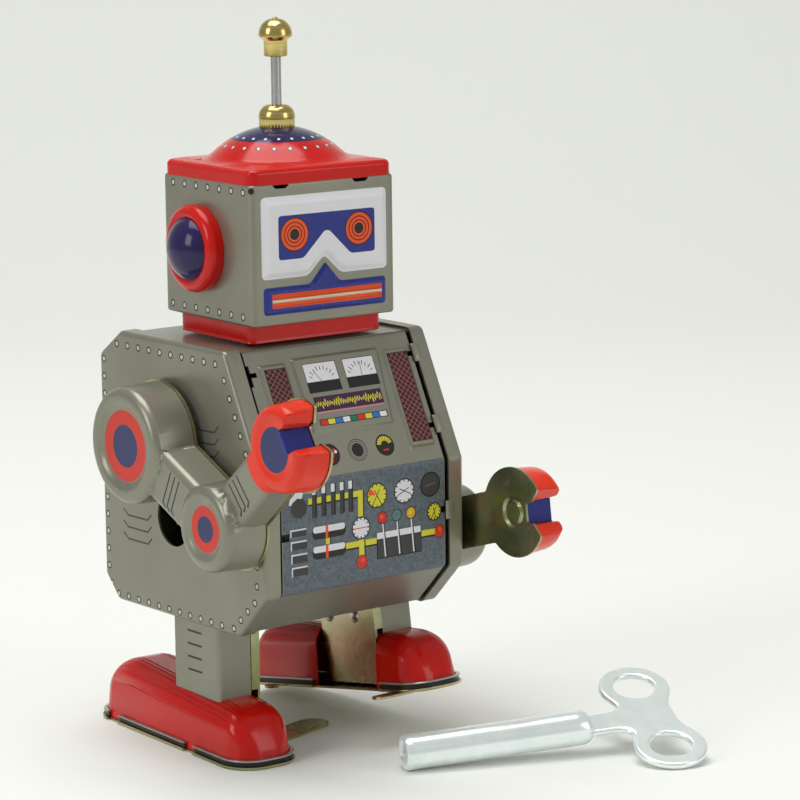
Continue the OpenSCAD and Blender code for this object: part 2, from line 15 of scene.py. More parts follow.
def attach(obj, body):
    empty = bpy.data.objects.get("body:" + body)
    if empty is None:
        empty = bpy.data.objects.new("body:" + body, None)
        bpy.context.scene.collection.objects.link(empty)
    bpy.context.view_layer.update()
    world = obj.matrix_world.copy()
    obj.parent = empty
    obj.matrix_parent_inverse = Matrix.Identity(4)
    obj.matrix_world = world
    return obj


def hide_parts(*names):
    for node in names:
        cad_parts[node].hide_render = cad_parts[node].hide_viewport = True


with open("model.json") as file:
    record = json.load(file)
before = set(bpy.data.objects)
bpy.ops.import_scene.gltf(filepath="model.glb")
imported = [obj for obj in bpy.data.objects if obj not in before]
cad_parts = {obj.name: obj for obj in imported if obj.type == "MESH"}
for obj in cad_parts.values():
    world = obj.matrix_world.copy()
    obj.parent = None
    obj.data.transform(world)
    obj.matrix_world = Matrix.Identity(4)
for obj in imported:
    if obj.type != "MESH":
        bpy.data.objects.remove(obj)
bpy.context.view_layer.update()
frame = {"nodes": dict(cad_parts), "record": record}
rng = np.random.default_rng(11)
MM = 0.001
SIDES = ((-1, "right"), (1, "left"))

# the camera: turned round Z, raised, rolled
VIEW_AZ, VIEW_EL, VIEW_ROLL = (math.radians(a) for a in (-38.1, 10.06, -0.7))
TIN, THIN_TIN = 0.45, 0.4


# ---- materials ----


def put(node, values):
    for socket, value in values.items():
        node.inputs[socket].default_value = value


def tinted(name, dark, light, rough, metal=0.0, coat=0.0, grain=900.0, bump=0.02, cloud=60.0, spread=0.05,
           stretch=(1, 1, 1)):
    """Node material: a cloudy mix of two tints, uneven gloss, and a fine grain in the surface."""
    m = bpy.data.materials.new(name)
    m.use_nodes = True
    nodes, link = m.node_tree.nodes, m.node_tree.links.new
    shader = nodes["Principled BSDF"]
    put(shader, {"Metallic": metal, "Coat Weight": coat, "Coat Roughness": 0.08, "Specular IOR Level": 0.25})
    place = nodes.new("ShaderNodeMapping")
    put(place, {"Scale": stretch})
    link(nodes.new("ShaderNodeTexCoord").outputs["Object"], place.inputs["Vector"])

    def noise(scale, detail):
        n = nodes.new("ShaderNodeTexNoise")
        put(n, {"Scale": scale, "Detail": detail})
        link(place.outputs["Vector"], n.inputs["Vector"])
        return n.outputs["Fac"]

    ramp = nodes.new("ShaderNodeValToRGB")
    ramp.color_ramp.elements[0].position = 0.36
    ramp.color_ramp.elements[1].position = 0.64
    ramp.color_ramp.elements[0].color = (*dark, 1)
    ramp.color_ramp.elements[1].color = (*light, 1)
    link(noise(cloud, 4), ramp.inputs["Fac"])
    link(ramp.outputs["Color"], shader.inputs["Base Color"])
    gloss = nodes.new("ShaderNodeMapRange")
    put(gloss, {"To Min": max(rough - spread, 0.02), "To Max": rough + spread})
    link(noise(cloud * 5, 3), gloss.inputs["Value"])
    link(gloss.outputs["Result"], shader.inputs["Roughness"])
    relief = nodes.new("ShaderNodeBump")
    put(relief, {"Strength": 0.35, "Distance": bump * MM})
    link(noise(grain, 2), relief.inputs["Height"])
    link(relief.outputs["Normal"], shader.inputs["Normal"])
    return m


def ink(name, colour, rough, vary=0.06, **more):
    """Printed or enamelled colour."""
    dark = [c * (1 - vary) for c in colour]
    light = [min(c * (1 + vary), 1) for c in colour]
    return tinted(name, dark, light, rough, coat=0.16, **more)


def plating(name):
    """Yellow passivated zinc: olive gold that drifts to green and to rose."""
    m = tinted(name, (0.34, 0.3, 0.12), (0.48, 0.43, 0.21), 0.27, metal=1, grain=700, bump=0.03, cloud=45,
               spread=0.07)
    ramp = [n for n in m.node_tree.nodes if n.type == "VALTORGB"][0].color_ramp
    for at, colour in ((0.45, (0.27, 0.32, 0.15)), (0.5, (0.4, 0.4, 0.23)), (0.56, (0.5, 0.41, 0.25))):
        ramp.elements.new(at).color = (*colour, 1)
    return m


MAT = {
    "grey": tinted("litho_grey", (0.235, 0.23, 0.18), (0.262, 0.256, 0.203), 0.34, metal=0.55, coat=0.2,
                   bump=0.012),
    "slate": tinted("litho_slate", (0.085, 0.105, 0.125), (0.135, 0.16, 0.185), 0.4, metal=0.2, coat=0.15,
                    cloud=1800),
    "red": ink("enamel_red", (0.54, 0.005, 0.002), 0.2, bump=0.01, grain=300),
    "claw_red": ink("litho_orange_red", (0.72, 0.03, 0.008), 0.22, grain=300),
    "navy": ink("enamel_navy", (0.018, 0.012, 0.075), 0.17, grain=300),
    "gold": plating("yellow_plating"),
    "lip": tinted("bare_crimped_edge", (0.4, 0.4, 0.36), (0.55, 0.54, 0.48), 0.3, metal=0.9),
    "brass": tinted("polished_brass", (0.52, 0.4, 0.13), (0.68, 0.54, 0.21), 0.2, metal=1, grain=60, bump=0.02,
                    stretch=(1, 1, 40)),
    "steel": tinted("drawn_steel", (0.4, 0.4, 0.4), (0.56, 0.56, 0.56), 0.28, metal=1, grain=900),
    "spring": tinted("blued_steel", (0.1, 0.13, 0.22), (0.22, 0.24, 0.33), 0.25, metal=1),
    "zinc": tinted("bright_zinc", (0.85, 0.93, 0.93), (0.93, 0.98, 0.98), 0.24, metal=0.6, grain=1400,
                   bump=0.035, cloud=300),
}
# printed colours: colour, roughness and, where it isn't the usual one, variation
PRINTED = {
    "disc_red": ((0.6, 0.03, 0.015), 0.34),
    "orange": ((0.8, 0.085, 0.012), 0.34),
    "blue": ((0.02, 0.028, 0.115), 0.3),
    "royal": ((0.02, 0.03, 0.22), 0.26),
    "white": ((0.72, 0.71, 0.74), 0.3, 0.02),
    "pale": ((0.52, 0.52, 0.46), 0.32),
    "cream": ((0.9, 0.75, 0.55), 0.3),
    "black": ((0.014, 0.013, 0.012), 0.35, 0.3),
    "coal": ((0.045, 0.043, 0.045), 0.4, 0.2),
    "violet": ((0.05, 0.016, 0.05), 0.35, 0.2),
    "yellow": ((0.66, 0.6, 0.035), 0.35),
    "amber": ((0.72, 0.36, 0.03), 0.35),
    "green": ((0.015, 0.17, 0.075), 0.35),
    "teal": ((0.1, 0.2, 0.19), 0.35),
    "sky": ((0.03, 0.16, 0.47), 0.35),
    "pink": ((0.6, 0.2, 0.27), 0.35),
    "maroon": ((0.05, 0.006, 0.008), 0.35, 0.25),
    "rose_line": ((0.27, 0.12, 0.11), 0.35),
}
MAT.update({look: ink("litho_" + look, *values) for look, values in PRINTED.items()})
SLOT_LOOK = {"tin_grey": "grey", "tin_front": "grey", "enamel_red": "red", "ink_blue": "navy", "plated": "gold",
             "brass": "brass", "steel": "steel", "spring_steel": "spring", "key_zinc": "zinc"}
for sub in frame["record"]["subparts"]:
    cad = frame["nodes"][sub["node"]]
    cad.data.materials.clear()
    cad.data.materials.append(MAT[SLOT_LOOK[sub["material_slot"]]])


# ---- flat shapes ----


def smooth(lo, hi, x):
    t = np.clip((x - lo) / (hi - lo), 0, 1)
    return t * t * (3 - 2 * t)


def xyz(x, y, z):
    return np.stack([x, y, z], -1)


def spin(x, y, degrees):
    """Pair of coordinates turned counter-clockwise about the origin."""
    ca, sa = math.cos(math.radians(degrees)), math.sin(math.radians(degrees))
    return x * ca - y * sa, x * sa + y * ca


def polar(c, r, degrees):
    return (c[0] + r * math.cos(math.radians(degrees)), c[1] + r * math.sin(math.radians(degrees)))


def arc(c, r, a0, a1, n=8):
    return [polar(c, r, a0 + (a1 - a0) * i / n) for i in range(n + 1)]


def disc(c, r, n=28):
    return [polar(c, r, 360 * i / n) for i in range(n)]


def box(u0, v0, u1, v1):
    u0, u1, v0, v1 = min(u0, u1), max(u0, u1), min(v0, v1), max(v0, v1)
    return [(u0, v0), (u1, v0), (u1, v1), (u0, v1)]


def signed_area(p):
    return sum(a[0] * b[1] - b[0] * a[1] for a, b in zip(p, p[1:] + p[:1])) / 2


def line(a, b, w):
    """Thin rectangle from a to b."""
    a, b = np.array(a, float), np.array(b, float)
    d = (b - a) / np.linalg.norm(b - a) * w / 2
    n = np.array([-d[1], d[0]])
    return [tuple(p) for p in (a - n, b - n, b + n, a + n)]


def stroke(points, w):
    """Line through several points, as overlapping rectangles a little longer than their sides."""
    out = []
    for a, b in zip(points, points[1:]):
        a, b = np.array(a, float), np.array(b, float)
        d = (b - a) / np.linalg.norm(b - a) * w / 2
        out.append(line(a - d, b + d, w))
    return out


def side_dirs(poly):
    p = np.array(poly, float)
    e = np.roll(p, -1, 0) - p
    return p, e / np.linalg.norm(e, axis=1)[:, None]


def inset(poly, d):
    """Counter-clockwise polygon with every side moved inwards by d."""
    p, e = side_dirs(poly)
    out = []
    for i in range(len(p)):
        u, v = e[i - 1], e[i]
        out.append(tuple(p[i] + d * (v - u) / (u[0] * v[1] - u[1] * v[0])))
    return out


def offset(poly, r, n=6):
    """Convex counter-clockwise polygon grown by r, with rounded corners."""
    p, e = side_dirs(poly)
    out = []
    for i in range(len(p)):
        a0 = math.atan2(-e[i - 1][0], e[i - 1][1])
        turn = (math.atan2(-e[i][0], e[i][1]) - a0) % (2 * math.pi)
        out += [tuple(p[i] + r * np.array([math.cos(a), math.sin(a)]))
                for a in (a0 + turn * k / n for k in range(n + 1))]
    return out


def rounded(poly, r, n=6):
    return offset(inset(poly, r), r, n)


def distance(q, poly):
    """Signed distance of points to a polygon, negative inside, and the nearest points on it."""
    a = np.array(poly, float)
    b = np.roll(a, -1, 0)
    e = b - a
    w = q[:, None, :] - a[None]
    t = np.clip((w * e).sum(2) / (e * e).sum(1), 0, 1)
    near = a + t[..., None] * e
    d = np.linalg.norm(q[:, None, :] - near, axis=2)
    k = d.argmin(1)
    rows = np.arange(len(q))
    up = (a[:, 1] <= q[:, None, 1]) & (b[:, 1] > q[:, None, 1])
    down = (a[:, 1] > q[:, None, 1]) & (b[:, 1] <= q[:, None, 1])
    side = e[:, 0] * w[..., 1] - e[:, 1] * w[..., 0]
    turns = (up & (side > 0)).sum(1) - (down & (side < 0)).sum(1)
    return np.where(turns != 0, -1, 1) * d[rows, k], near[rows, k]


def plateau(q, poly, high, width, soft=0.0):
    """Relief that rises over the given width inside a polygon."""
    return high * smooth(soft, -width, distance(q, poly)[0])


def hex_grid(lo, hi, step):
    rows = np.arange(lo[1], hi[1], step * 0.866)
    cols = np.arange(lo[0], hi[0], step)
    u, v = np.meshgrid(cols, rows)
    u = u + (np.arange(len(rows)) % 2)[:, None] * step / 2
    return np.stack([u.ravel(), v.ravel()], 1)


def contours(field, lo, hi, step, level=0.0):
    """Closed loops where a field of points crosses a level, by marching squares."""
    us, vs = np.arange(lo[0], hi[0], step), np.arange(lo[1], hi[1], step)
    u, v = np.meshgrid(us, vs)
    f = field(np.stack([u.ravel(), v.ravel()], 1)).reshape(u.shape) - level + 1e-7
    cross = {}

    def cut(i0, j0, i1, j1):
        key = (i0, j0, i1, j1) if (i0, j0) < (i1, j1) else (i1, j1, i0, j0)
        if key not in cross:
            a, b, c, d = key
            t = f[a, b] / (f[a, b] - f[c, d])
            cross[key] = (us[b] + t * (us[d] - us[b]), vs[a] + t * (vs[c] - vs[a]))
        return key

    nexts = {}
    inside = f < 0
    mixed = inside[:-1, :-1].astype(int) + inside[1:, :-1] + inside[:-1, 1:] + inside[1:, 1:]
    for i, j in zip(*np.where((mixed > 0) & (mixed < 4))):
        ring = [(i, j), (i, j + 1), (i + 1, j + 1), (i + 1, j)]
        outs, ins = [], []
        for a, b in zip(ring, ring[1:] + ring[:1]):
            if inside[a] != inside[b]:
                (outs if inside[a] else ins).append(cut(*a, *b))
        for a, b in zip(outs, ins):
            nexts[a] = b
    loops = []
    while nexts:
        start, at = next(iter(nexts.items()))
        loop = [start]
        del nexts[start]
        while at != start:
            loop.append(at)
            at = nexts.pop(at)
        loops.append([cross[k] for k in loop])
    return loops


def thinned(loop, gap):
    out = [loop[0]]
    for p in loop[1:]:
        if math.dist(p, out[-1]) >= gap:
            out.append(p)
    return out


# ---- meshes ----


def settle(ob, body, node):
    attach(ob, body)
    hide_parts(node)


def mesh_object(name, verts, faces, looks, face_looks, normals=None):
    mesh = bpy.data.meshes.new(name)
    mesh.from_pydata((np.asarray(verts) * MM).tolist(), [], faces)
    for look in looks:
        mesh.materials.append(MAT[look])
    mesh.polygons.foreach_set("material_index", np.asarray(face_looks, np.int32))
    mesh.shade_smooth()
    if normals is None:
        mesh.set_sharp_from_angle(angle=math.radians(38))
    else:
        mesh.normals_split_custom_set_from_vertices(np.asarray(normals).tolist())
    ob = bpy.data.objects.new(name, mesh)
    bpy.context.scene.collection.objects.link(ob)
    return ob


def triangulate(outline, base, paints, loops, points):
    """Flat triangles of a printed sheet, and the ink of each; a paint of None is a hole."""
    corners, edges, polys, inks = [], [], [], []
    for poly, look in [(outline, base), *paints]:
        poly = poly if signed_area(poly) > 0 else poly[::-1]
        polys.append(list(range(len(corners), len(corners) + len(poly))))
        corners += poly
        inks.append(look)
    for loop in loops:
        first, n = len(corners), len(loop)
        corners += loop
        edges += [(first + i, first + (i + 1) % n) for i in range(n)]
    corners += [tuple(p) for p in points]
    uv, _, tris, _, _, origin = delaunay_2d_cdt([Vector(p) for p in corners], edges, polys, 0, 1e-5)
    kept, looks = [], []
    for tri, source in zip(tris, origin):
        if source and 0 in source and inks[max(source)] is not None:
            kept.append(list(tri))
            looks.append(inks[max(source)])
    return np.array([tuple(p) for p in uv]), kept, looks


def compacted(uv, tris):
    """Points and triangles without the points that no triangle uses."""
    used = np.unique(np.array(tris).ravel())
    number = {int(v): i for i, v in enumerate(used)}
    return uv[used], [[number[v] for v in t] for t in tris]


def open_edges(tris):
    sides = dict.fromkeys((a, b) for t in tris for a, b in zip(t, t[1:] + t[:1]))
    return [(a, b) for a, b in sides if (b, a) not in sides]


def surface_normals(place, uv, flip=False):
    e = 2e-3
    du = place(uv + (e, 0)) - place(uv - (e, 0))
    dv = place(uv + (0, e)) - place(uv - (0, e))
    n = np.cross(du, dv)
    size = np.linalg.norm(n, axis=1)
    n /= np.where(size > 1e-12, size, 1)[:, None]
    return -n if flip else n


def sheet(name, outline, place, base, paints=(), loops=(), step=2.5, fine=None, fine_step=0.5, thick=TIN,
          flip=False, back=None):
    """Pressed and printed sheet metal: a flat layout carried to its place, with thickness and cut edges."""
    lo, hi = np.array(outline).min(0), np.array(outline).max(0)
    points = hex_grid(lo, hi, step)
    if fine is not None:
        dense = hex_grid(lo, hi, fine_step)
        points = np.concatenate([points, dense[fine(dense)]])
    points = points[distance(points, outline)[0] < -0.12]
    uv, tris, inks = triangulate(outline, base, list(paints), loops, points)
    uv, tris = compacted(uv, tris)
    front = place(uv)
    normal = surface_normals(place, uv, flip)
    if flip:
        tris = [t[::-1] for t in tris]
    n = len(uv)
    verts = [front, front - thick * normal]
    normals = [normal, -normal]
    faces = tris + [[v + n for v in t[::-1]] for t in tris]
    looks = inks + [back or base] * len(tris)
    at = 2 * n
    for a, b in open_edges(tris):
        quad = np.array([front[a], front[b], verts[1][b], verts[1][a]])
        out = np.cross(quad[3] - quad[0], quad[1] - quad[0])
        verts.append(quad)
        normals.append(np.tile(out / max(np.linalg.norm(out), 1e-9), (4, 1)))
        faces.append([at, at + 3, at + 2, at + 1])
        looks.append(back or base)
        at += 4
    order = sorted(set(looks))
    return mesh_object(name, np.concatenate(verts), faces, order, [order.index(x) for x in looks],
                       np.concatenate(normals))


def loft(name, rings, look):
    """Rings of equally many points joined by quads, with both ends closed."""
    n, verts = len(rings[0]), np.concatenate([np.array(r, float) for r in rings])
    faces = [[k * n + i, k * n + (i + 1) % n, (k + 1) * n + (i + 1) % n, (k + 1) * n + i]
             for k in range(len(rings) - 1) for i in range(n)]
    faces += [list(range(n))[::-1], [(len(rings) - 1) * n + i for i in range(n)]]
    return mesh_object(name, verts, faces, [look], [0] * len(faces))


def revolve(name, profile, look, to_world, turns=96, wobble=None):
    """Profile of (radius, height) points turned about a line; to_world carries [x, y, height]."""
    rings = []
    for r, h in profile:
        radii = [r + (wobble(i, r, h) if wobble else 0) for i in range(turns)]
        rings.append([to_world(np.array([*polar((0, 0), q, 360 * i / turns), h])) for i, q in enumerate(radii)])
    return loft(name, rings, look)


def bulge(r0, r, z, high, lo, hi, n, power=1.0):
    """Profile of a knob or dome, from angle lo to angle hi."""
    return [(r0 + r * math.cos(t) ** power, z + high * math.sin(t)) for t in np.linspace(lo, hi, n)]


def joined(name, parts):
    """Several mesh objects made into one."""
    keep = parts[0]
    with bpy.context.temp_override(active_object=keep, selected_editable_objects=parts):
        bpy.ops.object.join()
    keep.name = name
    return keep


# ---- torso ----

OUTLINE = [(-17.1, 25), (22.7, 25), (27, 29.5), (27, 72.6), (19.9, 77.6), (-14, 77.6), (-25.7, 54), (-25.7, 33.6)]
SIDE_X = 23.2
FLANGE = 3.5


def folded(uv, core, radius, fold):
    """Layout points of a tray pressed round a core shape: where each lies in plan, and how far down."""
    d, near = distance(uv, core)
    out = np.maximum(d, 0)
    away = np.where(d[:, None] > 0, uv - near, 0) / np.maximum(out, 1e-9)[:, None]
    s = out - (radius - fold)
    a = np.clip(s / fold, 0, math.pi / 2)
    reach = np.where(s < 0, out, radius - fold + fold * np.sin(a))
    plan = np.where(d[:, None] > 0, near + away * reach[:, None], uv)
    drop = np.where(s < 0, 0, fold * (1 - np.cos(a)) + np.maximum(s - fold * math.pi / 2, 0))
    return plan, drop


def fold_rings(core, radius, fold, n=5):
    return [offset(core, radius - fold + fold * math.pi / 2 * k / n, 8) for k in range(n + 1)]


def rivet_marks(centres, size=0.72):
    return [m for c in centres for m in ((disc(c, size, 18), "black"), (disc(c, size * 0.62, 14), "pale"))]


def evenly(a, b, n):
    return [(a[0] + (b[0] - a[0]) * i / (n - 1), a[1] + (b[1] - a[1]) * i / (n - 1)) for i in range(n)]


def marks(shapes, look):
    return [(s, look) for s in shapes]


side_rivets = (evenly((20.8, 75), (-11.4, 75), 10) + evenly((-14.1, 72.3), (-23.6, 53.2), 7)
               + evenly((-23.8, 50.3), (-23.1, 35.6), 5) + evenly((-22.3, 32.4), (-15.6, 26.4), 4)
               + evenly((-11.8, 26.3), (22.4, 26.3), 11) + [(24.6, 28)] + evenly((25.4, 31.4), (25.4, 71.6), 13))
louvres = []
for k in range(3):
    z = -2.3 * k
    louvres += stroke([(19.9, 43.3 + z), (18.5, 42.3 + z), (11.9, 42.3 + z), (10.7, 43.4 + z)], 0.34)
    louvres += stroke([(-5.0, 63.2 + z), (-6.2, 62.1 + z), (-10.7, 62.3 + z), (-11.9, 63.5 + z)], 0.34)
    louvres += stroke([(19.9, 62.0 + z), (18.5, 61.0 + z), (15.6, 61.0 + z), (14.4, 62.1 + z)], 0.34)
SIDE_R, SIDE_FOLD = 1.6, 0.9
side_core = inset(OUTLINE, SIDE_R)
side_layout = offset(side_core, SIDE_R + SIDE_FOLD * (math.pi / 2 - 1) + FLANGE - SIDE_FOLD, 8)


def rounded_path(points, radii, n=10):
    """Open path with filleted bends, as many short steps."""
    out = [np.array(points[0], float)]
    for a, b, c, r in zip(points, points[1:], points[2:], radii):
        a, b, c = (np.array(p, float) for p in (a, b, c))
        u, v = (a - b) / np.linalg.norm(a - b), (c - b) / np.linalg.norm(c - b)
        half = math.acos(np.clip(u @ v, -1, 1)) / 2
        middle = b + (u + v) / np.linalg.norm(u + v) * r / math.sin(half)
        p, q = b + u * r / math.tan(half) - middle, b + v * r / math.tan(half) - middle
        for k in range(n + 1):
            w = p * (1 - k / n) + q * k / n
            out.append(middle + w / np.linalg.norm(w) * r)
    out.append(np.array(points[-1], float))
    return np.array(out)


class Path:
    """Point and outward direction along a bent strip, by the distance travelled."""

    def __init__(self, points, start=0.0):
        self.p = points
        self.s = np.concatenate([[0], np.cumsum(np.linalg.norm(np.diff(points, axis=0), axis=1))]) + start

    def at(self, s):
        return np.stack([np.interp(s, self.s, self.p[:, k]) for k in (0, 1)], 1)

    def normal(self, s):
        t = self.at(s + 0.05) - self.at(s - 0.05)
        t /= np.maximum(np.linalg.norm(t, axis=1), 1e-9)[:, None]
        return np.stack([t[:, 1], -t[:, 0]], 1)


front = inset(OUTLINE, 0.5)
LEAD = 1.6
front_path = Path(rounded_path([(front[5][0] + LEAD, front[5][1]), front[5], front[6], front[7], front[0]],
                               (1.1, 2.2, 1.4)), -LEAD)
V_END = front_path.s[-1]
V_BEND = math.dist(front[5], front[6])


def lower(x, z):
    """Layout point of the upright lower face from its height."""
    return (x, V_BEND + front[6][1] - z)


CENTRE_FRAME = [(-9.2, 2.3), (11.4, 2.3), (10.0, 17.5), (-8.9, 17.5)]
RIGHT_GRILLE, LEFT_GRILLE = box(11.8, 2.9, 18.0, 22.8), box(-16.7, 2.9, -10.2, 22.8)


def front_relief(q):
    h = plateau(q, rounded(CENTRE_FRAME, 0.7), 0.45, 0.75)
    for grille in (RIGHT_GRILLE, LEFT_GRILLE):
        h = np.maximum(h, plateau(q, rounded(grille, 0.6), 0.55, 0.75))
    return h


def place_front(q):
    p = front_path.at(q[:, 1]) + front_path.normal(q[:, 1]) * front_relief(q)[:, None]
    return xyz(q[:, 0], p[:, 0], p[:, 1])


def dial(c, r, face, hands, hand="black"):
    """Round instrument in the layout: rim, face, twelve ticks and needles."""
    out = [(disc(c, r, 36), "black"), (disc(c, r - 0.24, 32), face)]
    out += marks([line(polar(c, r - 0.62, a), polar(c, r - 0.2, a), 0.24) for a in range(0, 360, 30)], "black")
    return out + marks([line(polar(c, r * 0.5, a + 180), polar(c, r * 0.72, a), 0.17) for a in hands], hand)


def meter(u0, u1, angle, red):
    """Square moving-needle meter: white scale above, black cover below."""
    mid = ((u0 + u1) / 2, 7.9)
    out = [(box(u0 - 0.12, 3.88, u1 + 0.12, 9.6), "black"), (box(u0, 4.0, u1, 7.5), "white")]
    for k in range(9):
        a = -152 + 124 * k / 8
        long = 3.45 if k % 2 else 3.25
        out.append((line(polar(mid, 2.55, a), polar(mid, long, a), 0.16), "coal"))
    out.append((line(polar(mid, 0.5, angle), polar(mid, 2.5 + red, angle), 0.15), "disc_red"))
    return out


def hatch(u0, v0, u1, v1, step=1.25, slope=1.05, w=0.12):
    """Crossed fine lines clipped to a rectangle."""
    out = []
    height = v1 - v0
    for side in (1, -1):
        c = -height * slope
        while c < u1 - u0:
            t0, t1 = max(0, -c / (height * slope)), min(1, (u1 - u0 - c) / (height * slope))
            if t1 - t0 > 0.02:
                p = [(c + height * slope * t, height * t) for t in (t0, t1)]
                p = [(u0 + x, v0 + y) if side > 0 else (u1 - x, v0 + y) for x, y in p]
                out.append(line(*p, w))
            c += step
    return out


art = [(box(-18.8, V_BEND - 0.6, 18.8, lower(0, 33.2)[1]), "slate")]
art += meter(-6.9, 0.4, -125, 0.2) + meter(2.2, 9.2, -84, 0.7)
art += [(box(-6.7, 10.4, 8.95, 13.25), "violet"), (box(-6.6, 13.3, 8.9, 13.55), "pink")]
wave = []
for k in range(58):
    u = -6.3 + 15.0 * k / 57
    swell = 0.5 + 0.45 * math.sin(u * 0.9 + 2.6) ** 2 if u < 4.6 else 0.95
    wave.append((u, 11.85 + (1 if k % 2 else -1) * swell * (0.35 + 0.65 * rng.random())))
art += marks(stroke(wave, 0.14), "yellow")
art += [(box(-6.75, 14.7, 8.95, 15.95), "black")]
strip = ("disc_red", "yellow", "sky", "white", "green", "disc_red", "yellow", "sky", "white")
for k, look in enumerate(strip):
    u = -6.6 + 15.4 / 9 * k
    art.append((box(u + 0.08, 14.85, u + 15.4 / 9 - 0.08, 15.8), look))
for u0, u1 in ((-15.7, -10.9), (12.6, 17.3)):
    art += [(box(u0, 4.0, u1, 21.6), "black"), (box(u0 + 0.12, 4.12, u1 - 0.12, 21.48), "maroon")]
    art += marks(hatch(u0 + 0.15, 4.15, u1 - 0.15, 21.45), "rose_line")
left_knob, middle_knob, right_knob = (-6.2, 21.4), (0.1, 21.3), (6.5, 21.2)
art += [(disc(left_knob, r), look) for r, look in ((2.1, "black"), (1.8, "maroon"), (0.85, "disc_red"))]
art += [(disc((-4.9, 21.0), 0.32, 12), "white")]
art += marks([disc(polar(left_knob, 1.35, a), 0.26, 10) for a in (-150, -95, -40, 85, 150)], "disc_red")
art += [(disc(middle_knob, r), look) for r, look in ((2.15, "coal"), (1.98, "grey"), (1.72, "coal"),
                                                     (1.6, "grey"), (1.32, "black"))]
art += [(disc(right_knob, 2.1), "black")]
art += marks([[polar(right_knob, r, a + d) for r, d in ((0.85, 0), (0.85, 11), (1.75, 11), (1.75, 0))]
              for a in range(-170, -20, 16)], "yellow")
art += [(line((5.9, 22.1), (7.1, 22.1), 0.3), "disc_red")]


def piece_of_art(points, look):
    """Prints a shape drawn as (x, height) on the upright lower face."""
    art.append(([lower(*p) for p in points], look))


def patch(x0, z0, x1, z1, look):
    piece_of_art(box(x0, z0, x1, z1), look)


def pipe_across(x0, x1, z, w=1.1):
    patch(x0, z - w / 2 - 0.35, x1, z - w / 2, "black")
    patch(x0, z - w / 2, x1, z + w / 2, "yellow")


def pipe_down(x, z0, z1, w=1.15):
    patch(x + w / 2, z0, x + w / 2 + 0.3, z1, "black")
    patch(x - w / 2, z0, x + w / 2, z1, "yellow")


piece_of_art([(-17.3, 50.2), (-14.8, 50.2), (-13.6, 53.0), (-16.6, 53.0)], "white")
piece_of_art([polar((-15.0, 49.4), 1.95, a) for a in range(10, 370, 45)], "coal")
pipe_across(-12.9, -0.3, 50.35)
pipe_down(-0.95, 46, 50.9)
for x in (-11.5, -9.35, -7.2, -5.15, -3.2):
    patch(x - 0.55, 47.2, x + 0.6, 53.1, "black")
    patch(x - 0.5, 51.5, x + 0.32, 53.0, "white")
    patch(x - 0.45, 49.9, x - 0.1, 50.8, "coal")
    patch(x - 0.5, 47.3, x + 0.2, 51.4, "coal")
for c, r, face, hands in (((2.9, 49.4), 2.4, "yellow", (60, 120)), ((9.3, 49.4), 2.4, "white", (25, 155)),
                          ((16.4, 44.5), 1.75, "yellow", (75, 118))):
    art += dial(lower(*c), r, face, hands)
art += [(disc(lower(15.5, 49.8), 2.4, 36), "black"), (disc(lower(15.5, 49.8), 2.1, 32), "coal"),
        (line(lower(14.3, 49.5), lower(16.7, 50.0), 0.14), "rose_line")]
art += [([polar(lower(2.9, 49.4), q, a) for q, a in ((0.3, 200), (2.0, 185), (2.1, 205), (2.0, 228))], "orange")]
for k, (top, tall) in enumerate(((45.6, 1.3), (43.4, 1.5), (41.0, 1.6), (38.6, 1.6))):
    x = -17.0 + 0.07 * k
    patch(x - 0.05, top - tall - 0.1, x + 3.55, top, "white")
    patch(x + 0.2, top - tall - 0.1, x + 3.6, top - 0.28, "coal")
for z in (44.3, 40.6):
    piece_of_art(rounded(box(-12.1, z - 1.25, -4.4, z + 1.25), 1.0), "black")
    piece_of_art(rounded(box(-11.9, z - 0.05, -4.6, z + 1.15), 0.55), "white")
    patch(-9.05, z - 1.2, -8.45, z + 1.2, "orange")
patch(-9.0, 41.9, -8.1, 43.0, "yellow")
patch(-8.1, 41.9, -7.8, 43.0, "black")
pipe_across(-4.4, 2.7, 40.9)
pipe_down(-0.8, 38.4, 41.6, 1.2)
art += dial(lower(-0.9, 43.8), 2.15, "white", (0, 180), "disc_red")
for c, r in (((-0.8, 37.4), 1.2), ((17.5, 40.6), 1.15)):
    art += [(disc(lower(*c), r + 0.14, 24), "maroon"), (disc(lower(*c), r, 24), "disc_red"),
            (disc(lower(c[0] + 0.2, c[1] + 0.3), 0.4, 12), "orange")]
pipe_across(13.2, 16.5, 40.7)
patch(2.7, 37.3, 13.3, 42.4, "black")
patch(2.8, 41.1, 13.1, 42.3, "white")
patch(3.0, 37.5, 13.1, 40.9, "coal")
for x, look, glint in ((4.1, "disc_red", "orange"), (7.45, "teal", "slate"), (10.8, "amber", "yellow")):
    piece_of_art([(x + 0.9, 37.4), (x + 1.25, 37.4), (x + 0.35, 44.4), (x - 0.25, 44.4)], "black")
    art.append((line(lower(x + 0.65, 37.6), lower(x + 0.05, 44.3), 0.3), "white"))
    art += [(disc(lower(x, 45.05), 1.2, 24), "black"), (disc(lower(x, 45.05), 1.02, 24), look),
            (disc(lower(x - 0.15, 45.2), 0.42, 14), glint)]
FRONT_X = 18.95
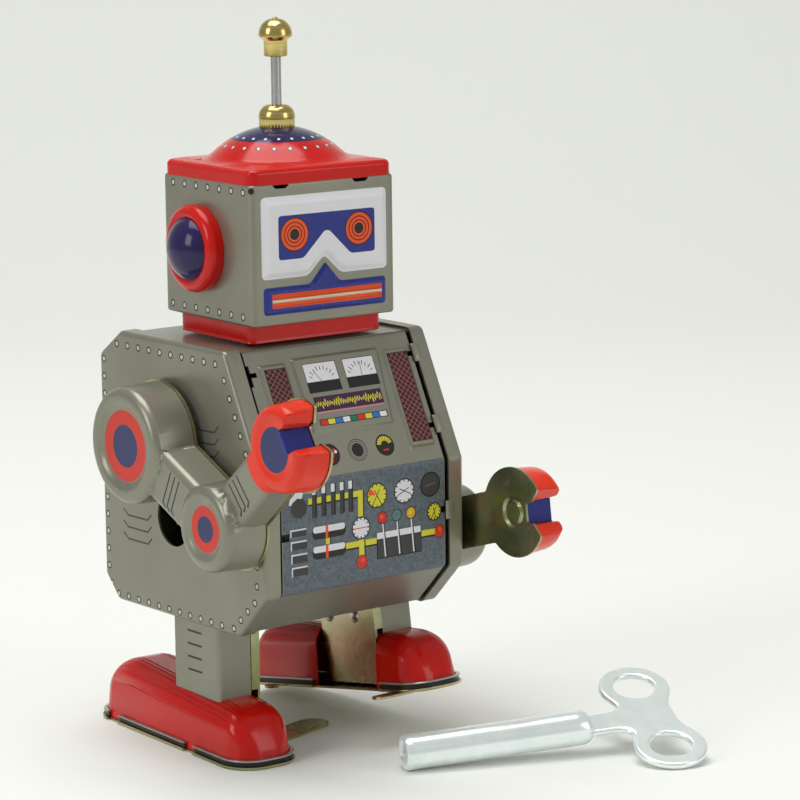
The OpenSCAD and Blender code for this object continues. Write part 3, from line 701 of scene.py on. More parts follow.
# open slots of the fold-over tabs, from the panel's two edges inwards
slots = [box(17.4, v - 0.5, FRONT_X, v + 0.5) for v in (4.5, 18.8)]
slots += [box(17.9, lower(0, 45.2)[1], FRONT_X, lower(0, 44.0)[1])]
slots += [box(-FRONT_X, v - 0.45, -17.1, v + 0.45) for v in (4.6, 18.8)]
slots += [box(-FRONT_X, v - 1.9, -18.4, v + 2.2) for v in (4.6, 18.8)]
slots += [box(-FRONT_X, lower(0, 45.0)[1], -17.3, lower(0, 43.6)[1])]
front_layout = box(-FRONT_X, -LEAD, FRONT_X, V_END)
relief_rings = [rounded(inset(f, d), 0.7) for f in (CENTRE_FRAME, RIGHT_GRILLE, LEFT_GRILLE)
                for d in (-0.02, 0.2, 0.38, 0.56, 0.78)]
bend_rows = [[(-FRONT_X, at + d), (FRONT_X, at + d)] for at in (0, V_BEND, lower(0, front[7][1])[1])
             for d in np.linspace(-0.68, 0.68, 7)]
# back="coal" makes the panel's back face and cut edges near-black: painted shade inside the torso, so the slots
# and the gaps at the panel's sides read dark
settle(sheet("face_panel", front_layout, place_front, "grey", art + marks(slots, None),
             relief_rings + bend_rows, step=1.6, flip=True, back="coal"), "torso", "front_panel")


def place_tab(q):
    p = front_path.at(q[:, 1]) + 0.5 * front_path.normal(q[:, 1])
    return xyz(-q[:, 0], p[:, 0], p[:, 1])


def tab(v):
    """Low smooth mound over the left edge of the front, at a distance v along the bent panel."""
    n, m = 12, 8
    centre, half = np.array([-19.75, v]), np.array([0.95, 1.75])
    uv = np.array([(centre[0] + half[0] * (2 * i / m - 1), centre[1] + half[1] * (2 * j / n - 1))
                   for j in range(n + 1) for i in range(m + 1)])
    t = (uv - centre) / half
    rise = 0.35 * np.clip(1 - abs(t[:, 0]) ** 3, 0, 1) ** 0.6 * np.clip(1 - abs(t[:, 1]) ** 4, 0, 1) ** 0.6
    verts = place_tab(uv) + surface_normals(place_tab, uv) * (rise - 0.02)[:, None]
    faces = [[j * (m + 1) + i, j * (m + 1) + i + 1, (j + 1) * (m + 1) + i + 1, (j + 1) * (m + 1) + i]
             for j in range(n) for i in range(m)]
    return mesh_object("tab", verts, faces, ["grey"], [0] * len(faces))


for side, name in SIDES:
    def place_side(q):
        plan, drop = folded(q, side_core, SIDE_R, SIDE_FOLD)
        return xyz(side * (SIDE_X - drop), plan[:, 0], plan[:, 1])

    paints = rivet_marks(side_rivets) + marks(louvres, "coal")
    if side < 0:
        paints.append((disc((3.2, 43.9), 5.2, 48), None))
    shell = sheet(name + "_flank", side_layout, place_side, "grey", paints,
                  fold_rings(side_core, SIDE_R, SIDE_FOLD), step=2.4, flip=side < 0)
    tabs = [tab(v) for v in (4.5, 18.8, lower(0, 44.5)[1])] if side > 0 else []
    settle(joined(name + "_flank", [shell, *tabs]), "torso", name + "_side_panel")


# ---- head ----

HEAD_X, HEAD_Y, HEAD_R = 16.0, 15.1, 1.3
HEAD_Z = (81.2, 107.2)
HEAD_TURN = -2.5
EAR_Y, EAR_Z = 2.2, 94.3


def around(t, hx, hy, r):
    """Point and outward direction on a rounded rectangle, by the distance from the middle of its front."""
    s, t = np.sign(t), abs(t)
    a, q, b = hx - r, math.pi * r / 2, 2 * (hy - r)
    one = np.clip((t - a) / r, 0, math.pi / 2)
    two = np.clip((t - a - q - b) / r, 0, math.pi / 2)
    turn = one + two
    nx, ny = np.sin(turn), -np.cos(turn)
    x = np.minimum(t, a) + r * nx - np.maximum(t - a - 2 * q - b, 0)
    y = -(hy - r) + np.clip(t - a - q, 0, b) + r * ny
    return s * x, y, s * nx, ny


def turned(p):
    """Head turned a little to the robot's right."""
    x, y = spin(p[..., 0], p[..., 1], HEAD_TURN)
    return xyz(x, y, p[..., 2])


def curl(v, lo, hi, r):
    d = np.clip(r - np.minimum(v - lo, hi - v), 0, r)
    return r - np.sqrt(r * r - d * d)


goggles = [(-13.9, 89.8), (-3.8, 89.8), (-0.15, 93.4), (3.5, 89.8), (13.9, 89.8), (13.9, 104.9), (-13.9, 104.9)]
window = [(-10.7, 93.3), (-5.3, 93.3), (-0.5, 98.0), (0.5, 98.0), (5.3, 93.3), (10.7, 93.3), (10.7, 101.4),
          (-10.7, 101.4)]
mouth = [(-13.6, 83.2), (13.6, 83.2), (13.6, 88.3), (3.3, 88.3), (0.2, 91.9), (-0.2, 91.9), (-3.3, 88.3),
         (-13.6, 88.3)]
grin = box(-12.1, 84.5, 12.3, 87.07)


def soften(poly, r, n=4):
    """Polygon with every corner cut to a short curve."""
    out = []
    for i, p in enumerate(poly):
        a, b, c = (np.array(q, float) for q in (poly[i - 1], p, poly[(i + 1) % len(poly)]))
        e, f = (a - b) / np.linalg.norm(a - b), (c - b) / np.linalg.norm(c - b)
        reach = min(r, np.linalg.norm(a - b) / 2.2, np.linalg.norm(c - b) / 2.2)
        for k in range(n + 1):
            t = k / n
            out.append(tuple((1 - t) ** 2 * (b + e * reach) + 2 * t * (1 - t) * b + t * t * (b + f * reach)))
    return out


goggles, window, mouth = soften(goggles, 1.0), soften(window, 0.7), soften(mouth, 0.8)


def face_relief(q):
    h = plateau(q, goggles, 0.85, 1.5)
    h = np.maximum(h, plateau(q, mouth, 0.65, 0.75))
    return h - plateau(q, grin, 0.45, 0.5, 0.1)


def place_head(q):
    x, y, nx, ny = around(q[:, 0], HEAD_X, HEAD_Y, HEAD_R)
    out = np.where(abs(q[:, 0]) < 14.4, face_relief(q), 0) - curl(q[:, 1], *HEAD_Z, 0.5)
    return turned(xyz(x + nx * out, y + ny * out, q[:, 1]))


def half_round(hx, hy, r):
    """Half the length round a rounded rectangle."""
    return 2 * (hx - r) + math.pi * r + 2 * (hy - r)


HEAD_HALF = half_round(HEAD_X, HEAD_Y, HEAD_R)
CORNER_T = HEAD_X - HEAD_R + math.pi * HEAD_R / 2 - HEAD_R
face_art = [(goggles, "white"), (window, "royal"), (mouth, "royal"), (grin, "orange"),
            (box(-12.1, 85.48, 12.3, 86.02), "cream")]
for x in (-7.15, 7.15):
    rings = ((3.15, "maroon"), (2.92, "orange"), (2.32, "maroon"), (2.12, "orange"), (1.62, "maroon"),
             (1.42, "orange"), (1.02, "black"))
    face_art += [(disc((x, 97.8), r, 40), look) for r, look in rings]
for z, y0, y1 in ((105.8, -12.5, 11.3), (82.9, -11.8, 12.3)):
    for y in np.linspace(y0, y1, 7):
        t = CORNER_T + y + HEAD_Y
        face_art += rivet_marks([(-t, z), (t, z)])
brim = HEAD_Z[1]
for a, b in ((-11.2, -7.7), (6.4, 10.0)):
    face_art.append(([(a, brim - 0.35), (a + 0.6, brim - 0.9), (b - 0.6, brim - 0.9), (b, brim - 0.35),
                      (b, brim), (a, brim)], None))
face_art.append((disc((-HEAD_X + 0.2, brim - 1.0), 0.6, 14), "black"))
face_art += [(disc((s * (CORNER_T + EAR_Y + HEAD_Y), EAR_Z), 4, 30), None) for s in (-1, 1)]
head_rings = [[(-HEAD_HALF + 0.01, z), (HEAD_HALF - 0.01, z)] for z in (81.35, 81.7, 106.7, 107.05)]
corner_rings = []
for s in (-1, 1):
    for t0 in (HEAD_X - HEAD_R, HEAD_X - HEAD_R + math.pi * HEAD_R / 2 + 2 * (HEAD_Y - HEAD_R)):
        corner_rings += [[(s * (t0 + math.pi * HEAD_R / 2 * k / 6), z) for z in (81.25, 107.15)] for k in range(7)]


def in_relief(q):
    near = abs(distance(q, goggles)[0]) < 1.7
    near |= abs(distance(q, mouth)[0]) < 0.9
    return near | (abs(distance(q, grin)[0]) < 0.7)


settle(sheet("head_sleeve", box(-HEAD_HALF, HEAD_Z[0], HEAD_HALF, brim), place_head, "grey", face_art,
             head_rings + corner_rings, step=1.4, fine=in_relief, fine_step=0.34),
       "torso", "head_shell")

COLLAR = (14.8, 12.2, 1.6)
COLLAR_Z = (77.1, 81.4)
collar_half = half_round(*COLLAR)


def place_collar(q):
    x, y, nx, ny = around(q[:, 0], *COLLAR)
    foot = 0.35 * smooth(78.0, COLLAR_Z[0], q[:, 1])
    return turned(xyz(x + nx * foot, y + ny * foot, q[:, 1]))


settle(sheet("neck_band", box(-collar_half, COLLAR_Z[0], collar_half, COLLAR_Z[1]), place_collar, "red",
             step=0.8), "torso", "neck_collar")

CAP_X, CAP_Y, CAP_R, CAP_FOLD, CAP_TOP = 15.85, 14.95, 2.0, 0.95, 110.25
cap_core = box(CAP_R - CAP_X, CAP_R - CAP_Y, CAP_X - CAP_R, CAP_Y - CAP_R)
cap_skirt = CAP_R + CAP_FOLD * (math.pi / 2 - 1) + 2.0
DOME_R, DOME_TOP = 17.4, 116.2


def place_cap(q):
    plan, drop = folded(q, cap_core, CAP_R, CAP_FOLD)
    r = np.hypot(plan[:, 0], plan[:, 1])
    ball = DOME_TOP - DOME_R + np.sqrt(np.maximum(DOME_R ** 2 - r * r, 1))
    ball = np.where(r > 15.5, 0, ball)
    edge = distance(plan, cap_core)[0]
    flat = CAP_TOP - 0.35 * smooth(-1.2, 1.6, edge)
    blend = 0.45
    t = (ball - flat) / blend
    z = np.where(t > 4, ball, np.where(t < -4, flat, blend * np.log(np.exp(np.clip(t, -4, 4)) + 1) + flat))
    return turned(xyz(plan[:, 0], plan[:, 1], z - drop))


cap_art = [(disc((0, 0), 8.85, 72), "navy")]
for r, n, ringed in ((7.85, 20, False), (10.35, 22, True)):
    for k in range(n):
        c = polar((0, 0), r, 360 * (k + 0.25) / n)
        cap_art += [(disc(c, 0.46, 16), "maroon")] if ringed else []
        cap_art.append((disc(c, 0.3, 14), "white"))
cap_rings = fold_rings(cap_core, CAP_R, CAP_FOLD) + [disc((0, 0), r, 72) for r in (11.4, 12.1, 12.7, 13.3, 14.0)]
settle(sheet("crown", offset(cap_core, cap_skirt, 8), place_cap, "red", cap_art, cap_rings, step=1.2,
             thick=THIN_TIN), "torso", "head_cap")


def upright(p):
    return p


def toward(side):
    """Places a profile turned about an ear's axis; heights run outwards from the head."""
    return lambda p: turned(np.array([side * (HEAD_X + p[2]), EAR_Y + side * p[0], EAR_Z + p[1]]))


ring_profile = [(8.1, 0.02)] + arc((6.65, 1.6), 1.55, -15, 190, 16) + [(4.9, 0.4), (3.2, 0.25)]
dome_profile = [(6.15, 0.7), (6.2, 1.5)] + bulge(0, 6.2, 1.5, 4.6, 0.06, 1.54, 14)
for side, name in SIDES:
    settle(revolve(name + "_ear_rim", ring_profile, "red", toward(side)),
           "torso", name + "_ear_ring")
    settle(revolve(name + "_ear_bulb", dome_profile, "navy", toward(side)),
           "torso", name + "_ear_dome")

nut_profile = [(2.6, 115.75), (3.2, 115.8), (3.32, 115.95), (3.32, 117.5), (3.42, 117.62)]
nut_profile += bulge(0.95, 2.47, 117.7, 2.4, 0.05, 1.5, 12, 0.8)
settle(revolve("antenna_nut", nut_profile, "brass", upright, 144,
               lambda i, r, h: -0.07 * (i % 4 < 1) if 115.9 < h < 117.55 and r > 3 else 0),
       "torso", "antenna_base")
finial_profile = [(1.0, 129.0), (2.05, 129.0), (2.2, 129.12), (2.2, 131.85), (2.3, 132.05), (2.75, 132.35)]
finial_profile += bulge(0, 3.12, 133.0, 3.0, -0.1, 1.32, 14, 0.85)
finial_profile += [(0.55, 135.98), (0.5, 136.15), (0.28, 136.28)]
settle(revolve("antenna_knob", finial_profile, "brass", upright), "torso", "antenna_finial")
settle(revolve("antenna_stem", [(0.95, 115.2), (0.95, 119.5), (0.95, 125), (0.95, 131)], "steel", upright, 48),
       "torso", "antenna_rod")


# ---- arms ----

SHOULDER_C = np.array([4.1, 58.9])
HUB, ELBOW, CLAW = np.zeros(2), np.array([-24.9, -11.7]), np.array([-44.3, 5.4])
ARM_X, LEFT_RAISED = 25.2, 25
MOUTH_TURN, MOUTH_IN = 148, 3.4
joints = ((HUB, 11.2), (ELBOW, 8.3), (CLAW, 8.2))
DEPTH = (8.5, 8.1, 6.2)
DIMPLE_R = 2.5


def in_mouth(x, y):
    """Point given along and across the mouth, in the arm's layout."""
    x, y = spin(x, y, MOUTH_TURN)
    return CLAW[0] + x, CLAW[1] + y


mouth_slot = [in_mouth(*p) for p in ((MOUTH_IN, -2.2), (5.2, -2.2), (12, -10.4), (12, 10.4), (5.2, 2.2),
                                     (MOUTH_IN, 2.2))]
bars = [line(HUB, ELBOW, 10.8), line(ELBOW, CLAW, 9.2)]


def to_disc(q, c, r):
    return np.hypot(q[:, 0] - c[0], q[:, 1] - c[1]) - r


def arm_body(q):
    return np.minimum.reduce([to_disc(q, c, r) for c, r in joints] + [distance(q, bar)[0] for bar in bars])


def arm_field(q):
    return np.maximum(arm_body(q), -distance(q, mouth_slot)[0])


def wall(d, high, draft, round_r):
    """Height over a sheet's edge: a steep wall that rounds into the top; d is the distance inside."""
    straight = high - round_r
    t = np.clip((d - draft) / round_r, 0, 1)
    return np.where(d < draft, straight * np.clip(d / draft, 0, 1), straight + round_r * np.sqrt(1 - (1 - t) ** 2))


DISH = ((HUB, 6.7, 0.75), (ELBOW, 4.3, 0.6), (CLAW, 4.1, 0.2))


def arm_height(q):
    h = np.maximum.reduce([wall(-to_disc(q, c, r), t, 0.3, 1.7) for (c, r), t in zip(joints, DEPTH)])
    for bar, t in zip(bars, (DEPTH[0] - 1.2, DEPTH[2])):
        h = np.maximum(h, wall(-distance(q, bar)[0], t, 0.3, 1.6))
    for c, r, deep in DISH:
        h = h - deep * smooth(1.7, 0, to_disc(q, c, r))
    gap = distance(q, mouth_slot)[0]
    return np.minimum(h, wall(gap, DEPTH[0], 0.2, 0.7))


def tidy_loops(field, lo, hi, levels, step=0.42, gap=0.3):
    out = []
    for level in levels:
        for loop in contours(field, lo, hi, step, level):
            loop = thinned(loop, gap)
            if len(loop) > 8:
                out.append(loop if signed_area(loop) > 0 else loop[::-1])
    return out


ARM_LO, ARM_HI = np.array([-57, -21.5]), np.array([12.5, 17])
arm_edge = max(tidy_loops(arm_field, ARM_LO, ARM_HI, [0.0], 0.3, 0.25), key=signed_area)
arm_rings = tidy_loops(arm_field, ARM_LO, ARM_HI, [-0.15, -0.3, -0.5, -0.8, -1.2, -2.0])
plate_edge = max(tidy_loops(arm_field, ARM_LO - 1, ARM_HI + 1, [0.3], 0.3, 0.3), key=signed_area)

band = [in_mouth(*p) for p in ((2.2, -2.05), (MOUTH_IN + 0.3, -2.05), (MOUTH_IN + 0.3, 2.05), (2.2, 2.05))]
arm_art = [(disc(CLAW, 8.7, 60), "claw_red"), (disc(CLAW, 4.1, 40), "blue"), (band, "royal"),
           (disc(HUB, 6.7, 48), "disc_red"), (disc(HUB, 4.0, 36), "blue"),
           (disc(ELBOW, 4.3, 40), "disc_red"), (disc(ELBOW, 2.45, 28), "blue")]


def grooves(a, b, at, half):
    """Three printed lines across a bar, each with a short hook at its lower end."""
    d = (b - a) / np.linalg.norm(b - a)
    n = np.array([-d[1], d[0]])
    n = n if n[1] > 0 else -n
    out = []
    for k in (-1, 0, 1):
        c = a + (b - a) * at + d * 1.45 * k
        out += stroke([c + n * half, c - n * half, c - n * (half + 0.5) + d * 0.9], 0.36)
    return out


arm_art += marks(grooves(HUB, ELBOW, 0.56, 3.1) + grooves(CLAW, ELBOW, 0.545, 2.7), "black")


def arm_pose(side):
    """Arm layout coordinates and distance outwards to the robot's frame."""
    def to_world(y, z, x):
        y, z = spin(y, z, LEFT_RAISED if side > 0 else 0)
        return xyz(side * x, SHOULDER_C[0] + y, SHOULDER_C[1] + z)

    return to_world


def near_arm_edge(q):
    d = arm_field(q)
    for c, r, _ in DISH:
        e = to_disc(q, c, r)
        d = np.where((e > -0.6) & (e < 2.2), -0.5, d)
    return d > -3.2


def near_dimple(q):
    return abs(to_disc(q, CLAW, DIMPLE_R)) < 1.3


for side, name in SIDES:
    to_world = arm_pose(side)

    def place_arm(q):
        return to_world(q[:, 0], q[:, 1], ARM_X + arm_height(q))

    settle(sheet(name + "_arm_pressing", arm_edge, place_arm, "grey", arm_art, arm_rings, step=1.1,
                 fine=near_arm_edge, fine_step=0.55, thick=THIN_TIN, flip=side < 0),
           name + "_arm", name + "_arm_shell")

    def place_plate(q):
        dimple = 0.45 * (1 - smooth(0, 0.7, abs(to_disc(q, CLAW, DIMPLE_R))))
        return to_world(q[:, 0], q[:, 1], ARM_X - 0.5 + dimple)

    settle(sheet(name + "_arm_backing", plate_edge, place_plate, "gold", [(disc(HUB, 1.5, 24), None)],
                 step=2.2, fine=near_dimple, fine_step=0.3, flip=side > 0),
           name + "_arm", name + "_arm_plate")


# ---- legs ----

# inner faces of a leg's channel at its rear and front wall, its outer face, its length along Y, its height
LEG_X, LEG_FRONT_X, LEG_OUT, LEG_Y, LEG_Z = 12.5, 14.0, 21.3, (-7.7, 7.0), (9.6, 30.8)
LEFT_TIPPED = -8.7
RIGHT_PIN, LEFT_PIN = np.array([-3.0807, 28.8129]), np.array([-4.9193, 36.1871])


def leg_pose(side):
    """Moves points drawn for the standing right leg to where each leg is."""
    def to_world(p):
        if side < 0:
            return p
        y, z = spin(p[:, 1] - RIGHT_PIN[0], p[:, 2] - RIGHT_PIN[1], LEFT_TIPPED)
        return xyz(-p[:, 0], LEFT_PIN[0] + y, LEFT_PIN[1] + z)

    return to_world


FOOT_PIVOT_X, TOE_OUT = -16.5, -3


def toed(p, turn=TOE_OUT):
    """Points of a foot drawn straight, carried to its toe-out."""
    x, y = spin(p[:, 0] - FOOT_PIVOT_X, p[:, 1], turn)
    return xyz(FOOT_PIVOT_X + x, y, p[:, 2])


leg_path = Path(rounded_path([(-LEG_FRONT_X, LEG_Y[0]), (-LEG_OUT, LEG_Y[0]), (-LEG_OUT, LEG_Y[1]),
                              (-LEG_X, LEG_Y[1])], (0.8, 0.8), 8))
LEG_SIDE = LEG_OUT - LEG_FRONT_X
leg_layout = box(0, LEG_Z[0], leg_path.s[-1], LEG_Z[1])
leg_bends = [[(t, LEG_Z[0] + 0.1), (t, LEG_Z[1] - 0.1)] for c in (LEG_SIDE, LEG_SIDE + LEG_Y[1] - LEG_Y[0])
             for t in np.linspace(c - 1.3, c + 0.6, 9)]
ticks = [box(LEG_SIDE + 5.0, z, LEG_SIDE + 9.6, z + 0.42) for z in (24.9, 22.4, 19.9, 17.4, 14.9)]

FOOT_X, FOOT_Y = (-24.4, -9.5), (-20.0, 33.5)
FOOT_IN, FOOT_R = 0.75, 5.4
ARC_Z, FORE_R, REAR_R, FORE_IN, REAR_IN = 1.4, 9.2, 11.4, 9.9, 12.1
SOLE_Z = 0.5


def foot_outline(d=0.0, n=8):
    """Outline of the shoe, drawn in by d."""
    d0 = FOOT_IN + d
    return rounded(box(FOOT_X[0] + d0, FOOT_Y[0] + d0, FOOT_X[1] - d0, FOOT_Y[1] - d0), FOOT_R - d, n)


foot_edge = foot_outline(n=10)
# opening of the shoe's inner wall, where the leg plate goes down to the sole
plate_gap = [tuple(p[:2]) for p in toed(np.array([(-12.8, -8.3, 0), (-8, -8.3, 0), (-8, 9.7, 0),
                                                  (-12.8, 9.7, 0)]), -TOE_OUT)]


def crest(y):
    """Height of the foot's back along its length."""
    fore_y, rear_y = FOOT_Y[0] + FORE_IN, FOOT_Y[1] - REAR_IN
    fore = ARC_Z + np.sqrt(np.maximum(FORE_R ** 2 - np.minimum(y - fore_y, 0) ** 2, 0))
    rear = ARC_Z + np.sqrt(np.maximum(REAR_R ** 2 - np.maximum(y - rear_y, 0) ** 2, 0))
    level = ARC_Z + FORE_R + (y - fore_y) * (REAR_R - FORE_R) / (rear_y - fore_y)
    z = np.where(y < fore_y, fore, np.where(y > rear_y, rear, level))
    return np.maximum(z, 4.2)


def place_foot(q):
    d = -distance(q, foot_edge)[0]
    high = crest(q[:, 1]) - SOLE_Z
    z = SOLE_Z + wall(d, high, 0.5, np.minimum(3.8, high * 0.6))
    return xyz(q[:, 0], q[:, 1], z)


foot_rings = [foot_outline(d) for d in (0.25, 0.5, 0.62, 0.85, 1.2, 1.7, 2.4, 3.2, 4.2)]
sole_edge = rounded(box(FOOT_X[0], FOOT_Y[0], FOOT_X[1], FOOT_Y[1]), 6, 10)


def rim_points(poly):
    """Rounded outline as a closed path with outward directions, evenly spaced."""
    p = np.array(poly + poly[:1], float)
    s = np.concatenate([[0], np.cumsum(np.linalg.norm(np.diff(p, axis=0), axis=1))])
    t = np.arange(0, s[-1], 0.8)
    x, y = np.interp(t, s, p[:, 0]), np.interp(t, s, p[:, 1])
    q = np.stack([x, y], 1)
    d = np.roll(q, -1, 0) - np.roll(q, 1, 0)
    d /= np.linalg.norm(d, axis=1)[:, None]
    return q, np.stack([d[:, 1], -d[:, 0]], 1)


# profile of the rim: outward distance from the sole's edge and height; the black strip between the plated edge and
# the lip is painted shadow, a dark sheet standing in for the shaded gap under the shoe's lip
RIM = (("gold", [(-0.9, 0.42), (-0.1, 0.42), (0.0, 0.6), (0.1, 0.55), (0.12, 0.3), (0.02, 0.08), (-0.15, 0.0),
                 (-0.9, 0.0)]),
       ("black", [(-0.75, 0.4), (-0.32, 0.4), (-0.36, 1.5), (-0.75, 1.5)]),
       ("lip", [(-0.8, 1.45), (-0.3, 1.42), (-0.08, 1.5), (-0.04, 1.64), (-0.14, 1.78), (-0.36, 1.82),
                (-0.8, 1.8)]))


def rim_runs(q):
    """Stretches of the rim between the breaks on the outer side and the gap for the leg plate."""
    x, y = q.T
    outer, inner = x < FOOT_X[0] + 0.6, x > FOOT_X[1] - 0.6
    breaks = ((y > 24.2) & (y < 27.4)) | ((y > -3.2) & (y < -0.4))
    cut = (outer & breaks) | (inner & (y > -8.6) & (y < 10.2))
    runs = [[]]
    for i in np.roll(np.arange(len(q)), -int(np.argmax(cut))):
        if cut[i]:
            runs.append([])
        else:
            runs[-1].append(i)
    return [run for run in runs if len(run) > 3]


def on_ground(q):
    return np.column_stack([q, np.full(len(q), 0.45)])


def tongue(y, tip, w, turn=0.0):
    """Rounded tongue from inside the sole's inner edge to its tip."""
    r, root, pivot = w / 2, FOOT_X[1] - 1.5, FOOT_X[1] + 0.5
    pts = [(root, y - r), *arc((tip - r, y), r, -90, 90, 16), (root, y + r)]
    return [(pivot + u, y + v) for u, v in (spin(u - pivot, v - y, turn) for u, v in pts)]


for side, name in SIDES:
    to_world = leg_pose(side)

    def place_leg(q):
        p = leg_path.at(q[:, 0])
        return to_world(xyz(p[:, 0], p[:, 1], q[:, 1]))

    settle(sheet(name + "_shin", leg_layout, place_leg, "grey", marks(ticks, "black"), leg_bends, step=2.2,
                 flip=side < 0), name + "_leg", name + "_leg_shell")

    def place_shoe(q):
        return to_world(toed(place_foot(q)))

    settle(sheet(name + "_shoe", foot_edge, place_shoe, "red", [(plate_gap, None)], foot_rings, step=0.9,
                 thick=THIN_TIN, flip=side > 0), name + "_leg", name + "_foot_shell")

    q, n = rim_points(sole_edge)
    parts = []
    for run in rim_runs(q):
        for look, profile in RIM:
            rings = [to_world(toed(np.array([[*(q[i] + n[i] * a), b] for a, b in profile]))) for i in run]
            parts.append(loft("rim", [r[::-1] for r in rings] if side > 0 else rings, look))

    def flat(q):
        return to_world(toed(np.column_stack([q, np.full(len(q), 0.43)])))

    parts.append(sheet("base", inset(sole_edge, 0.5), flat, "gold", step=3, thick=0.41, flip=side > 0))
    if side < 0:
        parts.append(sheet("tongue", tongue(-5.0, 8.9, 6.2, 16), on_ground, "gold", step=1.5, thick=0.44))
    else:
        parts += [sheet("tongue", tongue(*shape), flat, "gold", step=1.5, thick=0.43, flip=True)
                  for shape in ((-16.4, -2.4, 3.8), (21.2, -6.6, 5.0))]
    settle(joined(name + "_sole", parts), name + "_leg", name + "_sole_plate")


# ---- key ----

KEY_R, BOW_X, LOBE_Y, LOBE_R, HOLE_R, BOW_T = 3.3, 48.7, 10.0, 6.8, 3.9, 1.25
yaw, pitch, roll = (math.radians(a) for a in (-22, -3, 18.2))
key_turn = np.array(Matrix.Rotation(yaw, 3, "Z") @ Matrix.Rotation(pitch, 3, "Y") @ Matrix.Rotation(roll, 3, "X"))
KEY_AT = np.array([-1, -37, KEY_R * math.cos(pitch)])


def on_floor(p):
    return np.asarray(p) @ key_turn.T + KEY_AT


def square_ring(x, half, n=64):
    out = []
    for i in range(n):
        y, z = polar((0, 0), half, 360 * i / n)
        grow = half / max(abs(y), abs(z))
        out.append((x, y * grow, z * grow))
    return out


def round_ring(x, r, n=64, flat=1.0):
    return [(x, y, z * flat) for y, z in disc((0, 0), r, n)]


tube = [square_ring(14, 1.45), square_ring(0.9, 1.5), square_ring(0.35, 1.62), round_ring(0.12, 2.35),
        round_ring(0.0, 2.75), round_ring(0.12, 3.1), round_ring(0.5, KEY_R), round_ring(1.6, KEY_R),
        round_ring(2.1, 3.26), round_ring(20, 3.26), round_ring(33.2, 3.28), round_ring(34.9, 3.25),
        round_ring(35.8, 3.05, flat=0.9), round_ring(36.3, 2.5, flat=0.75)]
settle(loft("key_barrel", [on_floor(r) for r in tube], "zinc"), "key", "key_shank")


def melt(a, b, k):
    """Smooth union of two distances."""
    h = np.clip(0.5 + 0.5 * (b - a) / k, 0, 1)
    return b * (1 - h) + a * h - k * h * (1 - h)


def bow_field(q):
    d = melt(to_disc(q, (BOW_X, LOBE_Y), LOBE_R), to_disc(q, (BOW_X, -LOBE_Y), LOBE_R), 0.01)
    waist = distance(q, box(BOW_X - 4.4, -LOBE_Y, BOW_X + 4.4, LOBE_Y))[0]
    stem = distance(q, box(31, -2.9, BOW_X, 2.9))[0]
    d = melt(melt(d, waist, 2.6), stem, 4.0)
    for s in (-1, 1):
        d = np.maximum(d, -to_disc(q, (BOW_X, s * LOBE_Y), HOLE_R))
    return d


def lens(name, field, lo, hi, half, r, look, to_world):
    """Plate with rounded edges on both sides, from a field that is negative inside."""
    loops = tidy_loops(field, lo, hi, [0.0], 0.3, 0.28)
    outer = max(loops, key=lambda p: abs(signed_area(p)))
    holes = [p for p in loops if p is not outer]
    rings = tidy_loops(field, lo, hi, [-0.08, -0.25, -0.5, -0.85])
    points = hex_grid(lo, hi, 1.2)
    points = points[field(points) < -0.9]
    uv, tris, _ = triangulate(outer, look, [(h, None) for h in holes], rings, points)
    uv, tris = compacted(uv, tris)
    d = np.clip(-field(uv) / r, 0, 1)
    z = half - r + r * np.sqrt(1 - (1 - d) ** 2)
    n = len(uv)
    verts = np.concatenate([np.column_stack([uv, z]), np.column_stack([uv, -z])])
    faces = tris + [[v + n for v in t[::-1]] for t in tris] + [[a, a + n, b + n, b] for a, b in open_edges(tris)]
    return mesh_object(name, to_world(verts), faces, [look], [0] * len(faces))


settle(lens("key_wing", bow_field, np.array([29.5, -18.5]), np.array([57, 18.5]), BOW_T / 2, 0.5, "zinc",
            on_floor), "key", "key_bow")


# ---- floor, light and camera, in metres ----

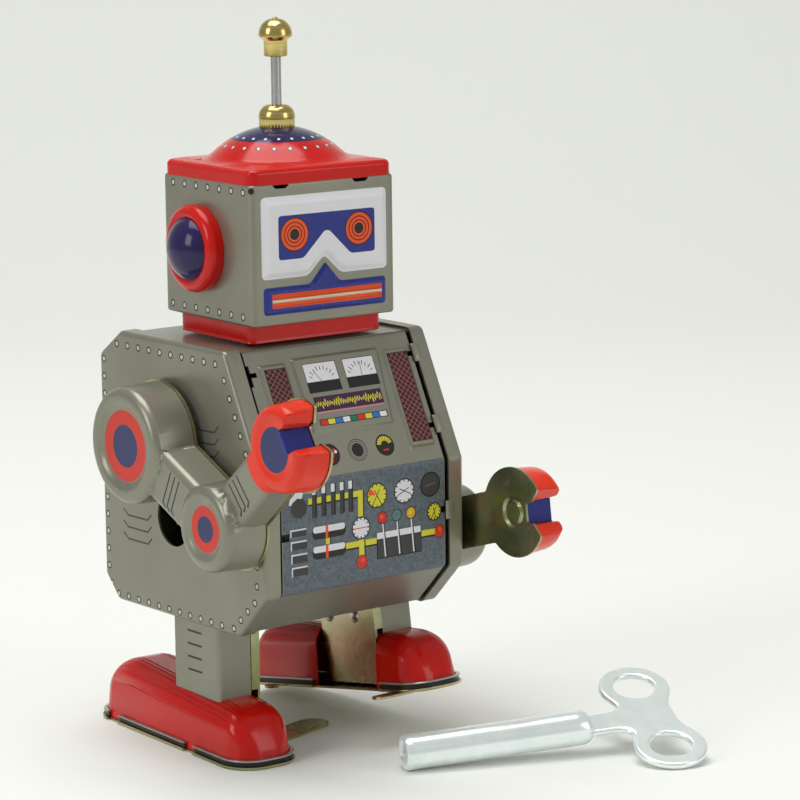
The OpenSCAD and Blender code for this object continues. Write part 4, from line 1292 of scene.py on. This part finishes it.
floor_mesh = bpy.data.meshes.new("floor")
reach, sweep = 1.4, 0.5
rows = [(-reach, 0.0), (0.5, 0.0)] + [(0.5 + sweep * math.sin(t), sweep * (1 - math.cos(t)))
                                      for t in np.linspace(0.1, math.pi / 2, 14)] + [(1.0, 2.2)]
away_dir = np.array([-math.sin(VIEW_AZ), math.cos(VIEW_AZ)])
side_dir = np.array([math.cos(VIEW_AZ), math.sin(VIEW_AZ)])
floor_verts = [(*(away_dir * d + side_dir * s), z - 0.00002) for d, z in rows for s in (-2.2, 2.2)]
floor_mesh.from_pydata([tuple(map(float, v)) for v in floor_verts], [],
                       [[2 * i, 2 * i + 1, 2 * i + 3, 2 * i + 2] for i in range(len(rows) - 1)])
floor_mesh.shade_smooth()
PAPER = (0.86, 0.87, 0.83)
floor_mesh.materials.append(tinted("paper_sweep", [c * 0.995 for c in PAPER], PAPER, 0.75, cloud=3, grain=500,
                                   bump=0.004))
floor = bpy.data.objects.new("floor", floor_mesh)
bpy.context.scene.collection.objects.link(floor)

# back points from the robot to the camera
level, flat_back = Vector((*side_dir, 0)), -Vector((*away_dir, 0))
back = flat_back * math.cos(VIEW_EL) + Vector((0, 0, math.sin(VIEW_EL)))
plumb = back.cross(level)
right = level * math.cos(VIEW_ROLL) + plumb * math.sin(VIEW_ROLL)
up = plumb * math.cos(VIEW_ROLL) - level * math.sin(VIEW_ROLL)
target = Vector((-0.02, -36.17, 68.92)) * MM
cam = bpy.data.cameras.new("camera")
cam.sensor_width, cam.lens = 36, 153.1
cam.clip_start, cam.clip_end = 0.05, 20
eye = bpy.data.objects.new("camera", cam)
basis = Matrix((right, up, back)).transposed().to_4x4()
eye.matrix_world = Matrix.Translation(target + back * 0.61411) @ basis
bpy.context.scene.collection.objects.link(eye)
bpy.context.scene.camera = eye


def lamp(name, across, toward_eye, high, size, watts):
    """Soft light at a place given as the camera sees it, aimed at the middle of the robot."""
    data = bpy.data.lights.new(name, "AREA")
    data.shape, data.size, data.size_y = "RECTANGLE", size[0], size[1]
    data.energy = watts
    ob = bpy.data.objects.new(name, data)
    ob.location = level * across + flat_back * toward_eye + Vector((0, 0, high))
    ob.rotation_euler = (Vector((0, 0, 0.06)) - ob.location).to_track_quat("-Z", "Y").to_euler()
    bpy.context.scene.collection.objects.link(ob)


lamp("overhead", -0.1, -0.05, 0.95, (0.7, 0.7), 6.2)
lamp("left_bank", -0.75, 0.55, 0.5, (0.35, 0.5), 2.5)
lamp("right_bank", 0.8, 0.45, 0.35, (0.4, 0.5), 1.3)
world = bpy.data.worlds.new("studio")
world.use_nodes = True
put(world.node_tree.nodes["Background"], {"Color": (0.95, 0.97, 0.95, 1), "Strength": 0.42})
bpy.context.scene.world = world
bpy.context.scene.view_settings.view_transform = "Standard"
